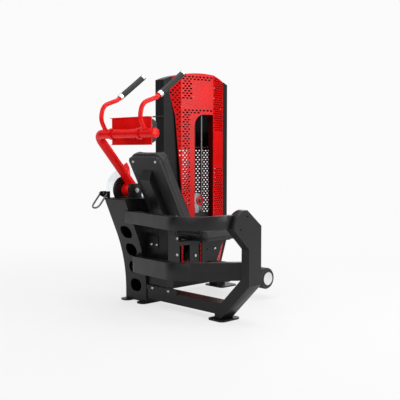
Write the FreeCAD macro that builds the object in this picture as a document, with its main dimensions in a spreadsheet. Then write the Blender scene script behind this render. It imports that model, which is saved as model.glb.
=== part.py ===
import FreeCAD, Part
import math
import os
import re

# Abdominal crunch machine, in millimetres: +X to the user's right, +Y the way the user faces, +Z up.
# Places are measured from the left column's inner foot; the finished parts are then moved so that
# the origin is the centre of the base, on the floor.

doc = FreeCAD.newDocument("abdominal_crunch_machine")
sizes = doc.addObject("Spreadsheet::Sheet", "sizes")

TABLE = [
    # Clearances
    ("seat_gap", 0.3), ("run_gap", 0.05), ("cut_overrun", 20),

    # Floor plates and base beams
    ("plate_thickness", 10), ("plate_corner", 30), ("right_plate_x", 640), ("right_plate_width", 132),
    ("right_plate_y", -57), ("right_plate_length", 167), ("column_plate_width", 80),
    ("inner_plate_x", -30), ("outer_plate_x", -200), ("column_plate_y", -70), ("column_plate_length", 180),
    ("rear_plate_x", -174), ("rear_plate_width", 191), ("rear_plate_y", 715), ("rear_plate_length", 173),
    ("beam_bottom", 38), ("near_beam_height", 70), ("near_beam_depth", 100),
    ("side_beam_x", -160), ("side_beam_width", 80), ("side_beam_height", 80), ("side_beam_end", 850),
    ("foot_block_length", 90),

    # Right column: foot stub, leg at 45 degrees, upright and rounded head
    ("column_inner_x", 899), ("column_thickness", 60), ("column_rear_y", -28), ("column_depth", 106),
    ("leg_stub_x", 680), ("leg_stub_width", 51), ("leg_heel", 46), ("head_bottom", 453),
    ("head_radius", 110), ("head_y", -43), ("head_z", 573), ("head_shoulder", 585), ("head_hole_radius", 5),

    # Left column: a hollow box whose rear curves back
    ("post_box_x", -172), ("post_box_width", 217), ("post_box_wall", 8), ("post_rear_y", -34),
    ("post_rear_bend", 288), ("post_rear_radius", 1025), ("post_top", 700), ("post_top_rear_y", -209),
    ("post_top_front_y", 60), ("post_front_y", 125), ("post_front_bend", 420), ("post_front_radius", 150),
    ("oval_width", 113), ("oval_height", 84), ("oval_first", 114), ("oval_step", 121.7), ("oval_count", 4),
    ("deck_thickness", 8), ("slot_width", 24), ("slot_height", 44),
    ("upright_slot_height", 84),

    # Curved guard bands of rectangular tube
    ("band_thickness", 60), ("upper_band_height", 77), ("upper_band_z", 590),
    ("upper_band_slope_share", 0.030), ("lower_band_height", 106), ("lower_band_z", 271),
    ("lower_band_slope_share", 0.050),
    ("upper_left_x", -1), ("upper_left_y", -146), ("upper_right_x", 899), ("upper_right_y", -435),
    ("upper_corner_radius", 190), ("band_corner_radius", 34), ("lower_left_x", 7), ("lower_left_y", -89),
    ("lower_bend_x", 552), ("lower_bend_y", -223), ("lower_bend_radius", 190), ("lower_right_y", 41),

    # Centre post, seat and its carriers
    ("post_x", 170), ("post_width", 80), ("post_depth", 52), ("post_height", 480), ("web_thickness", 10),
    ("web_set_back", 8), ("bracket_drop", 100), ("bracket_bolt_drop", 75),
    ("bracket_thickness", 8), ("rail_bottom", 398),
    ("rail_height", 24), ("rail_length", 536), ("seat_x", 45), ("seat_width", 330), ("seat_y", 191),
    ("seat_length", 419), ("board_thickness", 18), ("seat_cushion_height", 65), ("seat_corner", 45),
    ("side_plate_thickness", 8), ("side_plate_bottom", 271), ("tail_plate_y", 75), ("tail_bolt_y", 50),
    ("tail_bolt_low", 342), ("tail_bolt_high", 450), ("nose_plate_y", 277), ("nose_plate_length", 215),
    ("nose_plate_rake", 72), ("nose_bolt_y", 401), ("nose_bolt_z", 355), ("nose_hole_y", 325),
    ("idler_y", 228), ("idler_z", 320), ("idler_radius", 49), ("idler_width", 30),
    ("idler_plate_gap", 52), ("idler_plate_thickness", 6), ("idler_axle_radius", 9), ("idler_plate_half", 49),

    # Backrest, leaning back
    ("back_lean", 27), ("back_y", 42), ("back_z", 505), ("back_board_width", 300), ("back_board_length", 531),
    ("back_corner", 40), ("back_cushion_width", 318), ("back_cushion_length", 562),
    ("back_cushion_depth", 84), ("back_beam_width", 90), ("back_beam_depth", 50),
    ("back_beam_length", 443), ("back_beam_bevel", 48),

    # Foot rollers
    ("roller_y", 658), ("roller_z", 144), ("roller_radius", 73), ("roller_length", 180), ("roller_edge", 12),
    ("right_roller_x", 330), ("left_roller_x", -30), ("axle_radius", 12), ("roller_cap_radius", 44),
    ("roller_cap_thickness", 6), ("spacer_radius", 22), ("roller_arm_width", 50), ("roller_arm_x", 185),
    ("roller_arm_top", 52), ("roller_arm_y", 388), ("roller_eye_radius", 29),
    ("roller_eye_fillet", 26),

    # Weight tower
    ("tower_x", -189), ("tower_depth", 79), ("tower_y", 255), ("tower_width", 644), ("tower_apex", 1575),
    ("arch_rise", 60), ("cap_height", 95), ("upright_width", 50), ("rake_top", 345), ("rake_foot_y", 820),
    ("cover_thickness", 6), ("rear_thickness", 3), ("rear_split", 1045), ("sheet_thickness", 4),
    ("sheet_bulge", 58), ("ridge_y", 686), ("sheet_right_y", 873), ("sheet_bottom", 190),
    ("sheet_left_top_y", 331), ("sheet_left_wide_y", 308), ("sheet_left_wide_drop", 147),
    ("sheet_left_mid_y", 353), ("sheet_left_mid_drop", 308), ("sheet_left_low_y", 404),
    ("sheet_left_low_z", 712), ("sheet_left_in_y", 483),
    ("sheet_left_in_z", 543), ("sheet_left_out_y", 400), ("sheet_left_out_z", 410),
    ("window_y", 517), ("window_bottom", 420), ("window_drop", 294), ("window_corner", 85),
    ("window_sill", 20), ("crossbar_drop", 235), ("crossbar_height", 12), ("crossbar_depth", 53),
    ("cable_hole_radius", 8), ("hook_radius", 5), ("hook_drop", 317), ("hook_reach", 16), ("hook_overhang", 12),

    # Weight stack
    ("stack_y", 602), ("stack_x", -182), ("stack_depth", 70), ("stack_width", 230),
    ("plate_pitch", 26), ("low_plates", 12), ("lifted_plates", 5), ("rod_radius", 10), ("rod_x", -147),
    ("rod_spacing", 118), ("rod_play", 1.5), ("yoke_radius", 38), ("yoke_rise", 54), ("yoke_lobe_pitch", 56),
    ("yoke_plate_thickness", 5), ("yoke_gap", 32), ("yoke_roller_radius", 24), ("yoke_pin_radius", 6),
    ("pin_radius", 5), ("pin_length", 60), ("pin_knob_radius", 14), ("pin_knob_length", 24),

    # Cable and pulleys, all in one plane
    ("cable_x", -151), ("cable_radius", 3), ("pulley_line_radius", 40), ("pulley_flange_reach", 4),
    ("pulley_width", 14), ("pulley_groove", 8), ("pulley_axle_radius", 8), ("pulley_axle_length", 44),
    ("base_run_z", 130), ("base_front_y", 70), ("base_rear_y", 385), ("top_run_drop", 125),
    ("last_bend_radius", 39.2),
    ("pulley_plate_thickness", 4), ("pulley_plate_margin", 14),

    # Pivot, cam and guard
    ("pivot_y", -60), ("pivot_z", 757), ("shaft_radius", 16), ("shaft_x", -176), ("shaft_length", 162),
    ("ear_x", -172), ("ear_thickness", 10), ("ear_half", 34), ("ear_fillet", 30), ("block_x", -50),
    ("block_thickness", 30), ("block_half", 45), ("hub_x", -130), ("hub_length", 68),
    ("hub_radius", 42), ("cam_radius", 90),
    ("guard_radius", 145), ("guard_wall", 3), ("guard_x", -161.5), ("guard_width", 24),

    # Crunch arm, pad and handles
    ("arm_x", -96), ("arm_radius", 30), ("arm_start_y", -37), ("arm_start_z", 788), ("arm_bend_y", -321),
    ("arm_bend_z", 1124), ("arm_bend_radius", 62), ("arm_end_x", 482), ("gusset_thickness", 6),
    ("bracket_x", 14), ("bracket_width", 388), ("bracket_height", 160), ("bracket_below", 64),
    ("bracket_wall", 5), ("bracket_flange", 26), ("saddle_wall", 7), ("saddle_width", 28),
    ("saddle_inset", 46), ("pad_depth", 84), ("pad_edge", 18), ("left_handle_x", 13),
    ("right_handle_x", 398), ("handle_radius", 14),
    ("handle_back_reach", 50), ("handle_back_rise", 91), ("handle_high_reach", 29), ("handle_high_rise", 178),
    ("handle_turn_reach", 81), ("handle_turn_rise", 216), ("handle_low_bend", 90), ("handle_high_bend", 70),
    ("handle_last_bend", 40), ("grip_rise", 36.4), ("handle_stub", 24), ("collar_radius", 20),
    ("collar_length", 24), ("grip_radius", 16), ("grip_length", 206), ("grip_cap_length", 18),
    ("grip_cap_radius", 19),

    # Range-of-motion loop and its lugs
    ("loop_radius", 6), ("loop_x", -198), ("loop_width", 86), ("loop_y", -228), ("loop_z", 738),
    ("loop_reach_y", -76), ("loop_drop", 92), ("loop_bend_radius", 32.7),
    ("lug_thickness", 8), ("lug_half", 14), ("lug_gap", 50),
    # Fasteners
    ("bolt_radius", 9), ("bolt_height", 6),
]

for row, (alias, value) in enumerate(TABLE, start=1):
    sizes.set(f"A{row}", alias.replace("_", " "))
    sizes.set(f"B{row}", str(value))
    sizes.setAlias(f"B{row}", alias)
doc.recompute()


class Values:
    """The sheet's numbers, read by their aliases."""

    def __getattr__(self, alias):
        return float(sizes.get(alias))


v = Values()
ALIASES = {alias for alias, value in TABLE}
parts = []
V = FreeCAD.Vector
X_AXIS = V(1, 0, 0)
Y_AXIS = V(0, 1, 0)
Z_AXIS = V(0, 0, 1)


def bind(item, prop, text):
    """Tie a property to sizes of the sheet."""
    def named(found):
        return f"sizes.{found[0]}" if found[0] in ALIASES else found[0]

    item.setExpression(prop, re.sub(r"[a-z]\w*", named, text))


def place(item, at):
    for letter, text in zip("xyz", at):
        bind(item, f"Placement.Base.{letter}", text)
    return item


def box(name, at, size):
    """A block from its low corner and its three lengths, all as expressions."""
    item = doc.addObject("Part::Box", name)
    for prop, text in zip(("Length", "Width", "Height"), size):
        bind(item, prop, text)
    return place(item, at)


def rod(name, at, axis, radius, length):
    """A cylinder from the middle of its first face along X, Y or Z."""
    item = doc.addObject("Part::Cylinder", name)
    item.Placement = FreeCAD.Placement(V(), FreeCAD.Rotation(Z_AXIS, axis))
    bind(item, "Radius", radius)
    bind(item, "Height", length)
    return place(item, at)


def feature(name, shape):
    item = doc.addObject("Part::Feature", name)
    item.Shape = shape
    return item


def path(points, radii, closed=False):
    """Straight runs joined by tangent arcs; one radius for each point, none at an open end."""
    count = len(points)
    starts, ends, middles = [], [], []
    for i, (point, radius) in enumerate(zip(points, radii)):
        if not radius:
            starts.append(point)
            ends.append(point)
            middles.append(None)
            continue
        back = (points[i - 1] - point).normalize()
        onward = (points[(i + 1) % count] - point).normalize()
        half = back.getAngle(onward) / 2
        reach = radius / math.tan(half)
        middle = (back + onward).normalize() * (radius / math.sin(half) - radius)
        starts.append(point + back * reach)
        ends.append(point + onward * reach)
        middles.append(point + middle)
    edges = []
    for i in range(count):
        if middles[i] is not None:
            edges.append(Part.Arc(starts[i], middles[i], ends[i]).toShape())
        following = (i + 1) % count
        if (closed or following) and ends[i].distanceToPoint(starts[following]) > v.run_gap / 2:
            edges.append(Part.LineSegment(ends[i], starts[following]).toShape())
    return Part.Wire(edges)


def slab(name, corners, radii, origin, along, across, thickness, holes=()):
    """A plate: an outline on a plane, with holes, pushed out square to it by a named thickness."""
    def lift(point):
        return origin + along * point[0] + across * point[1]

    if not radii:
        radii = [0] * len(corners)
    wires = [path([lift(c) for c in corners], radii, closed=True)]
    normal = along.cross(across)
    for place_on, radius in holes:
        wires.append(Part.Wire(Part.makeCircle(radius, lift(place_on), normal)))
    face = feature(name + "_outline", Part.makeFace(wires, "Part::FaceMakerBullseye"))
    item = doc.addObject("Part::Extrusion", name)
    item.Base = face
    item.DirMode = "Custom"
    item.Dir = normal
    item.Solid = True
    bind(item, "LengthFwd", thickness)
    return item


def side_slab(name, corners, radii, x, thickness, holes=()):
    """A plate square to X; its corners are (y, z)."""
    return slab(name, corners, radii, X_AXIS * x, Y_AXIS, Z_AXIS, thickness, holes)


def pipe(name, points, radii, radius):
    """A round bar along runs and arcs."""
    spine = path(points, radii)
    ring = Part.Wire(Part.makeCircle(radius, points[0], points[1] - points[0]))
    return feature(name, spine.makePipeShell([ring], True, True))


def cut(name, base, *tools):
    for number, tool in enumerate(tools):
        item = doc.addObject("Part::Cut", f"{name}_{number}")
        item.Base = base
        item.Tool = tool
        base = item
    return base


def join(name, *pieces):
    item = doc.addObject("Part::MultiFuse", name)
    item.Shapes = list(pieces)
    return item


def part(label, *pieces):
    """A finished sub-part: one or more solids under the name of its node."""
    item = doc.addObject("Part::Compound", label)
    item.Label = label
    item.Links = list(pieces)
    parts.append(item)
    return item


# Floor plates: flat steel with round corners, and the block under the tower
def floor_plate(name, x, y, width, length):
    corners = [(x, y), (x + width, y), (x + width, y + length), (x, y + length)]
    return slab(name, corners, [v.plate_corner] * 4, V(), X_AXIS, Y_AXIS, "plate_thickness")


part("foot_plates",
     floor_plate("right_floor_plate", v.right_plate_x, v.right_plate_y, v.right_plate_width,
                 v.right_plate_length),
     floor_plate("inner_floor_plate", v.inner_plate_x, v.column_plate_y, v.column_plate_width,
                 v.column_plate_length),
     floor_plate("outer_floor_plate", v.outer_plate_x, v.column_plate_y, v.column_plate_width,
                 v.column_plate_length),
     join("tower_foot",
          floor_plate("rear_floor_plate", v.rear_plate_x, v.rear_plate_y, v.rear_plate_width,
                      v.rear_plate_length),
          box("foot_block", ("side_beam_x", "side_beam_end - foot_block_length", "plate_thickness"),
              ("side_beam_width", "foot_block_length", "beam_bottom - plate_thickness"))))

# Right column: leg and upright are one outline square to Y, the head another square to X
column_outer_x = v.column_inner_x + v.column_thickness
column_front_y = v.column_rear_y + v.column_depth
leg_heel_z = v.plate_thickness + v.leg_heel
leg_outer_x = v.leg_stub_x + v.leg_stub_width
leg = slab("leg",
           [(v.leg_stub_x, v.plate_thickness), (leg_outer_x, v.plate_thickness),
            (column_outer_x, v.plate_thickness + column_outer_x - leg_outer_x),
            (column_outer_x, v.head_bottom), (v.column_inner_x, v.head_bottom),
            (v.column_inner_x, leg_heel_z + v.column_inner_x - v.leg_stub_x), (v.leg_stub_x, leg_heel_z)],
           None, Y_AXIS * column_front_y, X_AXIS, Z_AXIS, "column_depth")
head_wire = Part.Wire([
    Part.LineSegment(V(v.column_inner_x, v.column_rear_y, v.head_bottom),
                     V(v.column_inner_x, column_front_y, v.head_bottom)).toShape(),
    Part.LineSegment(V(v.column_inner_x, column_front_y, v.head_bottom),
                     V(v.column_inner_x, column_front_y, v.head_shoulder)).toShape(),
    Part.LineSegment(V(v.column_inner_x, column_front_y, v.head_shoulder),
                     V(v.column_inner_x, v.head_y, v.head_z + v.head_radius)).toShape(),
    Part.Arc(V(v.column_inner_x, v.head_y, v.head_z + v.head_radius),
             V(v.column_inner_x, v.head_y - v.head_radius * math.sqrt(0.5),
               v.head_z + v.head_radius * math.sqrt(0.5)),
             V(v.column_inner_x, v.head_y - v.head_radius, v.head_z)).toShape(),
    Part.LineSegment(V(v.column_inner_x, v.head_y - v.head_radius, v.head_z),
                     V(v.column_inner_x, v.column_rear_y, v.head_bottom)).toShape()])
head_face = feature("head_outline", Part.Face(head_wire))
head = doc.addObject("Part::Extrusion", "head")
head.Base = head_face
head.DirMode = "Custom"
head.Dir = X_AXIS
head.Solid = True
bind(head, "LengthFwd", "column_thickness")
head_holes = [rod("head_hole_top", ("column_inner_x - cut_overrun", "head_y", "head_z + 2 * head_radius / 3"),
                  X_AXIS, "head_hole_radius", "column_thickness + 2 * cut_overrun"),
              rod("head_hole_rear", ("column_inner_x - cut_overrun", "head_y - head_radius / 2", "head_z"),
                  X_AXIS, "head_hole_radius", "column_thickness + 2 * cut_overrun")]
column_blank = join("column_blank", leg, head)
part("right_column", cut("column_bored", column_blank, *head_holes))

# Near cross beam, mitred against the leg
beam_top = v.beam_bottom + v.near_beam_height
post_box_right = v.post_box_x + v.post_box_width
part("near_cross_beam",
     slab("near_beam", [(post_box_right, v.beam_bottom), (v.leg_stub_x, v.beam_bottom),
                        (v.leg_stub_x, leg_heel_z), (v.leg_stub_x + beam_top - leg_heel_z, beam_top),
                        (post_box_right, beam_top)],
          None, Y_AXIS * (v.column_rear_y + v.near_beam_depth), X_AXIS, Z_AXIS, "near_beam_depth"))

# Left column: bent side outline, hollow, with oval openings in its rear wall and a cable slot in front
rear_lean = math.atan2(v.post_rear_y - v.post_top_rear_y, v.post_top - v.post_rear_bend)


def post_outline(inset, top, floor):
    """The column's side outline drawn in by a wall; the rear corner follows the lean."""
    slope = math.tan(rear_lean / 2)
    front = math.atan2(v.post_front_y - v.post_top_front_y, v.post_top - v.post_front_bend)
    rear_top = v.post_top_rear_y + inset / math.cos(rear_lean) - (top - v.post_top) * math.tan(rear_lean)
    front_top = v.post_top_front_y - inset / math.cos(front) - (top - v.post_top) * math.tan(front)
    corners = [(v.post_rear_y + inset, floor), (v.post_front_y - inset, floor),
               (v.post_front_y - inset, v.post_front_bend - inset * math.tan(front / 2)),
               (front_top, top), (rear_top, top), (v.post_rear_y + inset, v.post_rear_bend + inset * slope)]
    radii = [0, 0, v.post_front_radius - inset, 0, 0, v.post_rear_radius + inset]
    return corners, radii


corners, radii = post_outline(0, v.post_top, v.plate_thickness)
post_solid = side_slab("post_solid", corners, radii, v.post_box_x, "post_box_width")
corners, radii = post_outline(v.post_box_wall, v.post_top + v.cut_overrun,
                              v.plate_thickness + v.post_box_wall)
post_hollow = side_slab("post_hollow", corners, radii, v.post_box_x + v.post_box_wall,
                        "post_box_width - 2 * post_box_wall")
ovals = []
for number in range(int(v.oval_count)):
    straight = (v.oval_width - v.oval_height) / 2
    middle = V(v.post_box_x + v.post_box_width / 2, v.post_rear_y + 2 * v.post_box_wall,
               v.oval_first + number * v.oval_step)
    half = v.oval_height / 2
    corners = [(-straight - half, -half), (straight + half, -half), (straight + half, half),
               (-straight - half, half)]
    ovals.append(slab(f"oval_{number}", corners, [half - v.run_gap] * 4, middle, X_AXIS, Z_AXIS,
                      "post_rear_y - post_top_rear_y + 2 * post_box_wall"))
cable_slot = box("cable_slot", ("cable_x - slot_width / 2", "post_front_y - cut_overrun",
                                "base_run_z - slot_height / 4"),
                 ("slot_width", "2 * cut_overrun", "slot_height"))
part("left_column", cut("post_cut", post_solid, post_hollow, *ovals, cable_slot))

# Side base beam, from the left column to under the tower
part("side_base_beam", box("side_beam", ("side_beam_x", "post_front_y", "beam_bottom"),
                           ("side_beam_width", "side_beam_end - post_front_y", "side_beam_height")))

# Deck on the left column, slotted for the cam and cable
deck = box("deck_blank", ("post_box_x", "post_top_rear_y", "post_top"),
           ("post_box_width", "post_top_front_y - post_top_rear_y", "deck_thickness"))
deck_slot = box("deck_slot", ("cable_x - slot_width / 2", "pivot_y - cam_radius - cut_overrun",
                              "post_top - cut_overrun"),
                ("slot_width", "2 * cam_radius + 2 * cut_overrun", "deck_thickness + 2 * cut_overrun"))
part("top_deck", cut("deck_slotted", deck, deck_slot))


# Guard bands: rectangular tube bent in plan, rising gently to the right
def band(name, points, radii, height, z, slope_share):
    spine = path([V(x, y, 0) for x, y in points], radii)
    start, onward = V(*points[0], 0), V(*points[1], 0) - V(*points[0], 0)
    side = onward.normalize().cross(Z_AXIS) * (v.band_thickness / 2)
    rise = Z_AXIS * (height / 2)
    ring = Part.makePolygon([start + side + rise, start + side - rise, start - side - rise,
                             start - side + rise, start + side + rise])
    shape = spine.makePipeShell([ring], True, True)
    shape.rotate(V(), Y_AXIS, -math.degrees(math.atan(slope_share)))
    shape.translate(Z_AXIS * z)
    return feature(name, shape)


upper_blank = band("upper_blank",
                   [(v.upper_left_x, v.post_rear_y), (v.upper_left_x, v.upper_left_y),
                    (v.upper_right_x, v.upper_right_y), (v.upper_right_x, v.head_y - v.head_radius / 2)],
                   [0, v.band_corner_radius, v.upper_corner_radius, 0],
                   v.upper_band_height, v.upper_band_z, v.upper_band_slope_share)
part("upper_band", cut("upper_fitted", upper_blank, post_solid, column_blank))
lower_blank = band("lower_blank",
                   [(v.lower_left_x, v.post_rear_y), (v.lower_left_x, v.lower_left_y),
                    (v.lower_bend_x, v.lower_bend_y), (v.column_inner_x, v.lower_right_y)],
                   [0, v.band_corner_radius, v.lower_bend_radius, 0],
                   v.lower_band_height, v.lower_band_z, v.lower_band_slope_share)
part("lower_band", cut("lower_fitted", lower_blank, post_solid, column_blank))

# Centre post with its web and bolted brackets
part("centre_post", box("post", ("post_x", "column_rear_y", "beam_bottom + near_beam_height"),
                        ("post_width", "post_depth", "post_height - beam_bottom - near_beam_height")))
web_y = v.column_rear_y + v.web_set_back
web = box("web", ("post_box_x + post_box_width", "column_rear_y + web_set_back",
                  "beam_bottom + near_beam_height"),
          ("post_x - post_box_x - post_box_width", "web_thickness",
           "post_height - beam_bottom - near_beam_height"))
notch_low = v.post_height - v.bracket_drop
notch = slab("notched_bracket",
             [(post_box_right + v.bracket_thickness, notch_low), (v.post_x - v.bracket_thickness, notch_low),
              (v.post_x - v.bracket_thickness, notch_low + v.post_width),
              (post_box_right + 4 * v.bracket_thickness, notch_low + v.post_width),
              (post_box_right + 4 * v.bracket_thickness, notch_low + v.post_width / 4),
              (post_box_right + v.bracket_thickness, notch_low + v.post_width / 4)],
             None, Y_AXIS * web_y, X_AXIS, Z_AXIS, "bracket_thickness")
strip = box("beam_strip",
            ("post_box_x + post_box_width + bracket_thickness", "column_rear_y - bracket_thickness",
             "beam_bottom + near_beam_height - bracket_thickness"),
            ("2 * post_x - post_box_x - post_box_width", "bracket_thickness", "4 * bracket_thickness"))
part("column_web", web, notch, strip)

# Seat rail, side plates and the idler under the seat
rail_top = v.rail_bottom + v.rail_height
post_front_face = v.column_rear_y + v.post_depth
part("seat_rail", box("rail", ("post_x", "column_rear_y + post_depth", "rail_bottom"),
                      ("post_width", "rail_length", "rail_height")))
plate_x = v.post_x + v.post_width
nose_end = v.nose_plate_y + v.nose_plate_length
front_plate = side_slab("front_side_plate",
                        [(v.nose_plate_y, rail_top), (nose_end, rail_top),
                         (nose_end - v.nose_plate_rake, v.side_plate_bottom),
                         (v.nose_plate_y, v.side_plate_bottom)],
                        None, plate_x, "side_plate_thickness",
                        [((v.nose_hole_y, v.nose_bolt_z), v.pin_radius)])
rear_plate = side_slab("rear_side_plate",
                       [(v.column_rear_y, v.side_plate_bottom), (v.tail_plate_y, v.side_plate_bottom),
                        (v.tail_plate_y, rail_top), (post_front_face + v.bracket_thickness, v.post_height),
                        (v.column_rear_y, v.post_height)],
                       None, plate_x, "side_plate_thickness")
part("seat_side_plates", front_plate, rear_plate)
idler_plates = []
for number, x in enumerate((v.post_x + v.post_width / 2 - v.idler_plate_gap / 2 - v.idler_plate_thickness,
                            v.post_x + v.post_width / 2 + v.idler_plate_gap / 2)):
    idler_plates.append(side_slab(
        f"idler_plate_{number}",
        [(v.idler_y - v.idler_plate_half, v.rail_bottom),
         (v.idler_y - v.idler_plate_half, v.side_plate_bottom),
         (v.idler_y + v.idler_plate_half, v.side_plate_bottom),
         (v.idler_y + v.idler_plate_half, v.rail_bottom)],
        [0, v.idler_axle_radius, v.idler_axle_radius, 0], x, "idler_plate_thickness",
        [((v.idler_y, v.idler_z), v.idler_axle_radius + v.run_gap)]))
idler_axle = rod("idler_axle", ("post_x + post_width / 2 - idler_plate_gap / 2 - 2 * idler_plate_thickness",
                                "idler_y", "idler_z"),
                 X_AXIS, "idler_axle_radius", "idler_plate_gap + 4 * idler_plate_thickness")
part("idler_bracket", *idler_plates)
idler_disc = rod("idler_disc", ("post_x + post_width / 2 - idler_width / 2", "idler_y", "idler_z"),
                 X_AXIS, "idler_radius", "idler_width")
idler_bore = rod("idler_bore", ("post_x", "idler_y", "idler_z"), X_AXIS,
                 "idler_axle_radius + run_gap", "post_width")
part("idler_wheel", cut("idler_bored", idler_disc, idler_bore))


# Cushions: rounded outlines lofted from a drawn-in base over a full waist to a crowned top
def cushion(name, width, length, depth, corner, origin, along, across, level_shares, inset_shares):
    up = along.cross(across)
    rings = []
    for level, inset in zip(level_shares, inset_shares):
        draw = inset * corner
        a, b = width / 2 - draw, length / 2 - draw
        base = origin + up * (level * depth)
        points = [base + along * i * a + across * j * b for i, j in ((-1, -1), (1, -1), (1, 1), (-1, 1))]
        rings.append(path(points, [corner] * 4, closed=True))
    return feature(name, Part.makeLoft(rings, True, True))


LEVEL_SHARES = (0, 0.22, 0.55, 0.82, 0.95, 1)
INSET_SHARES = (0.28, 0.04, 0, 0.16, 0.55, 1.3)
seat_middle = V(v.seat_x + v.seat_width / 2, v.seat_y + v.seat_length / 2, rail_top)
half_width, half_length = v.seat_width / 2 - v.board_thickness, v.seat_length / 2 - v.board_thickness
part("seat_board", slab("seat_ply", [(-half_width, -half_length), (half_width, -half_length),
                                     (half_width, half_length), (-half_width, half_length)],
                        [v.seat_corner] * 4, seat_middle, X_AXIS, Y_AXIS, "board_thickness"))
part("seat_cushion", cushion("seat_foam", v.seat_width, v.seat_length, v.seat_cushion_height, v.seat_corner,
                             seat_middle + Z_AXIS * (v.board_thickness + v.seat_gap), X_AXIS, Y_AXIS,
                             LEVEL_SHARES, INSET_SHARES))

# Backrest: a beam on the post, a board and a cushion, all on the leaning plane
lean = math.radians(v.back_lean)
back_up = V(0, -math.sin(lean), math.cos(lean))
back_out = V(0, math.cos(lean), math.sin(lean))
back_foot = V(0, v.back_y, v.back_z)


def on_back(up, out):
    point = back_foot + back_up * up + back_out * out
    return point.y, point.z


beam_rear = v.column_rear_y
rise_to_rear = (v.back_y - v.back_beam_depth * math.cos(lean) - beam_rear) / math.sin(lean)
part("backrest_beam",
     side_slab("leaning_beam",
               [(beam_rear, v.post_height), (post_front_face, v.post_height), on_back(0, 0),
                on_back(v.back_beam_length, 0),
                on_back(v.back_beam_length - v.back_beam_bevel, -v.back_beam_depth),
                on_back(rise_to_rear, -v.back_beam_depth)],
               None, v.post_x + v.post_width / 2 - v.back_beam_width / 2, "back_beam_width"))
seat_line_x = v.seat_x + v.seat_width / 2
half = v.back_board_width / 2
back_origin = back_foot + X_AXIS * seat_line_x
part("backrest_board",
     slab("back_ply", [(-half, v.back_board_length), (half, v.back_board_length), (half, 0), (-half, 0)],
          [v.back_corner, v.back_corner, v.back_corner / 2, v.back_corner / 2],
          back_origin, X_AXIS, back_up, "-board_thickness"))
part("backrest_cushion",
     cushion("back_foam", v.back_cushion_length, v.back_cushion_width, v.back_cushion_depth, v.back_corner,
             back_origin + back_up * (v.back_board_length / 2) + back_out * (v.board_thickness + v.seat_gap),
             back_up, X_AXIS, LEVEL_SHARES, INSET_SHARES))

# Foot rollers on one axle, held by an arm from the seat rail
toe = v.roller_eye_radius
arm_front_y = v.roller_arm_y + v.roller_arm_top
arm_blank = side_slab("roller_arm_blank",
                      [(v.roller_arm_y, v.rail_bottom), (arm_front_y, v.rail_bottom),
                       (arm_front_y, v.roller_z + toe), (v.roller_y + toe, v.roller_z + toe),
                       (v.roller_y + toe, v.roller_z - toe), (v.roller_arm_y, v.roller_z - toe)],
                      [0, 0, toe / 2, v.roller_eye_fillet, v.roller_eye_fillet, toe], v.roller_arm_x,
                      "roller_arm_width", [((v.roller_y, v.roller_z), v.axle_radius)])
part("roller_arm", arm_blank)
axle_bar = rod("axle", ("left_roller_x - seat_gap", "roller_y", "roller_z"), X_AXIS, "axle_radius",
               "right_roller_x + roller_length - left_roller_x + 2 * seat_gap")
spacers = []
for name, start, length in (
        ("left_spacer", "left_roller_x + roller_length + seat_gap",
         "roller_arm_x - left_roller_x - roller_length - seat_gap"),
        ("right_spacer", "roller_arm_x + roller_arm_width",
         "right_roller_x - roller_arm_x - roller_arm_width - seat_gap")):
    tube = rod(name, (start, "roller_y", "roller_z"), X_AXIS, "spacer_radius", length)
    bore = rod(name + "_bore", (start, "roller_y", "roller_z"), X_AXIS, "axle_radius", length)
    spacers.append(cut(name + "_cut", tube, bore))
part("roller_axle", axle_bar, *spacers)


def roller(side, x):
    """A foam roller: a revolved profile with round edges and a bore that runs on the axle."""
    bore, rim, edge = v.axle_radius + v.run_gap, v.roller_radius, v.roller_edge
    corners = [V(x, 0, bore), V(x, 0, rim), V(x + v.roller_length, 0, rim), V(x + v.roller_length, 0, bore)]
    profile = path(corners, [0, edge, edge, 0], closed=True)
    turned = Part.Face(profile).revolve(V(), X_AXIS, 360)
    turned.translate(V(0, v.roller_y, v.roller_z))
    part(f"foot_roller_{side}", feature(f"roller_{side}", turned))


roller("right", v.right_roller_x)
roller("left", v.left_roller_x)
part("roller_caps",
     rod("cap_right", ("right_roller_x + roller_length + seat_gap", "roller_y", "roller_z"), X_AXIS,
         "roller_cap_radius", "roller_cap_thickness"),
     rod("cap_left", ("left_roller_x - seat_gap - roller_cap_thickness", "roller_y", "roller_z"), X_AXIS,
         "roller_cap_radius", "roller_cap_thickness"))

# Weight tower: uprights, arched cap, covers and the folded front sheet
tower_front_x = v.tower_x + v.tower_depth
tower_end_y = v.tower_y + v.tower_width
beam_line = v.beam_bottom + v.side_beam_height
cap_bottom = v.tower_apex - v.cap_height
left_upright = box("left_upright", ("tower_x", "tower_y", "beam_bottom + side_beam_height"),
                   ("tower_depth", "upright_width",
                    "tower_apex - cap_height - beam_bottom - side_beam_height"))
upright_slot = box("upright_slot", ("cable_x - slot_width / 2", "tower_y - cut_overrun",
                                    "beam_bottom + side_beam_height - cut_overrun"),
                   ("slot_width", "upright_width + 2 * cut_overrun", "upright_slot_height + cut_overrun"))
part("tower_left_upright", cut("left_upright_slotted", left_upright, upright_slot))
part("tower_right_upright",
     side_slab("right_upright",
               [(tower_end_y - v.upright_width, cap_bottom), (tower_end_y, cap_bottom),
                (tower_end_y, v.rake_top), (v.rake_foot_y, beam_line),
                (v.rake_foot_y - v.upright_width, beam_line),
                (tower_end_y - v.upright_width, v.rake_top + v.upright_width / 4)],
               None, v.tower_x, "tower_depth"))
tower_middle_y = v.tower_y + v.tower_width / 2
arch_radius = (v.tower_width ** 2 / 4 + v.arch_rise ** 2) / (2 * v.arch_rise)
arch_z = v.tower_apex - arch_radius


def arch_top(y):
    """Height of the arched top at a place across the tower."""
    return arch_z + math.sqrt(arch_radius ** 2 - (y - tower_middle_y) ** 2)


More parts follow.
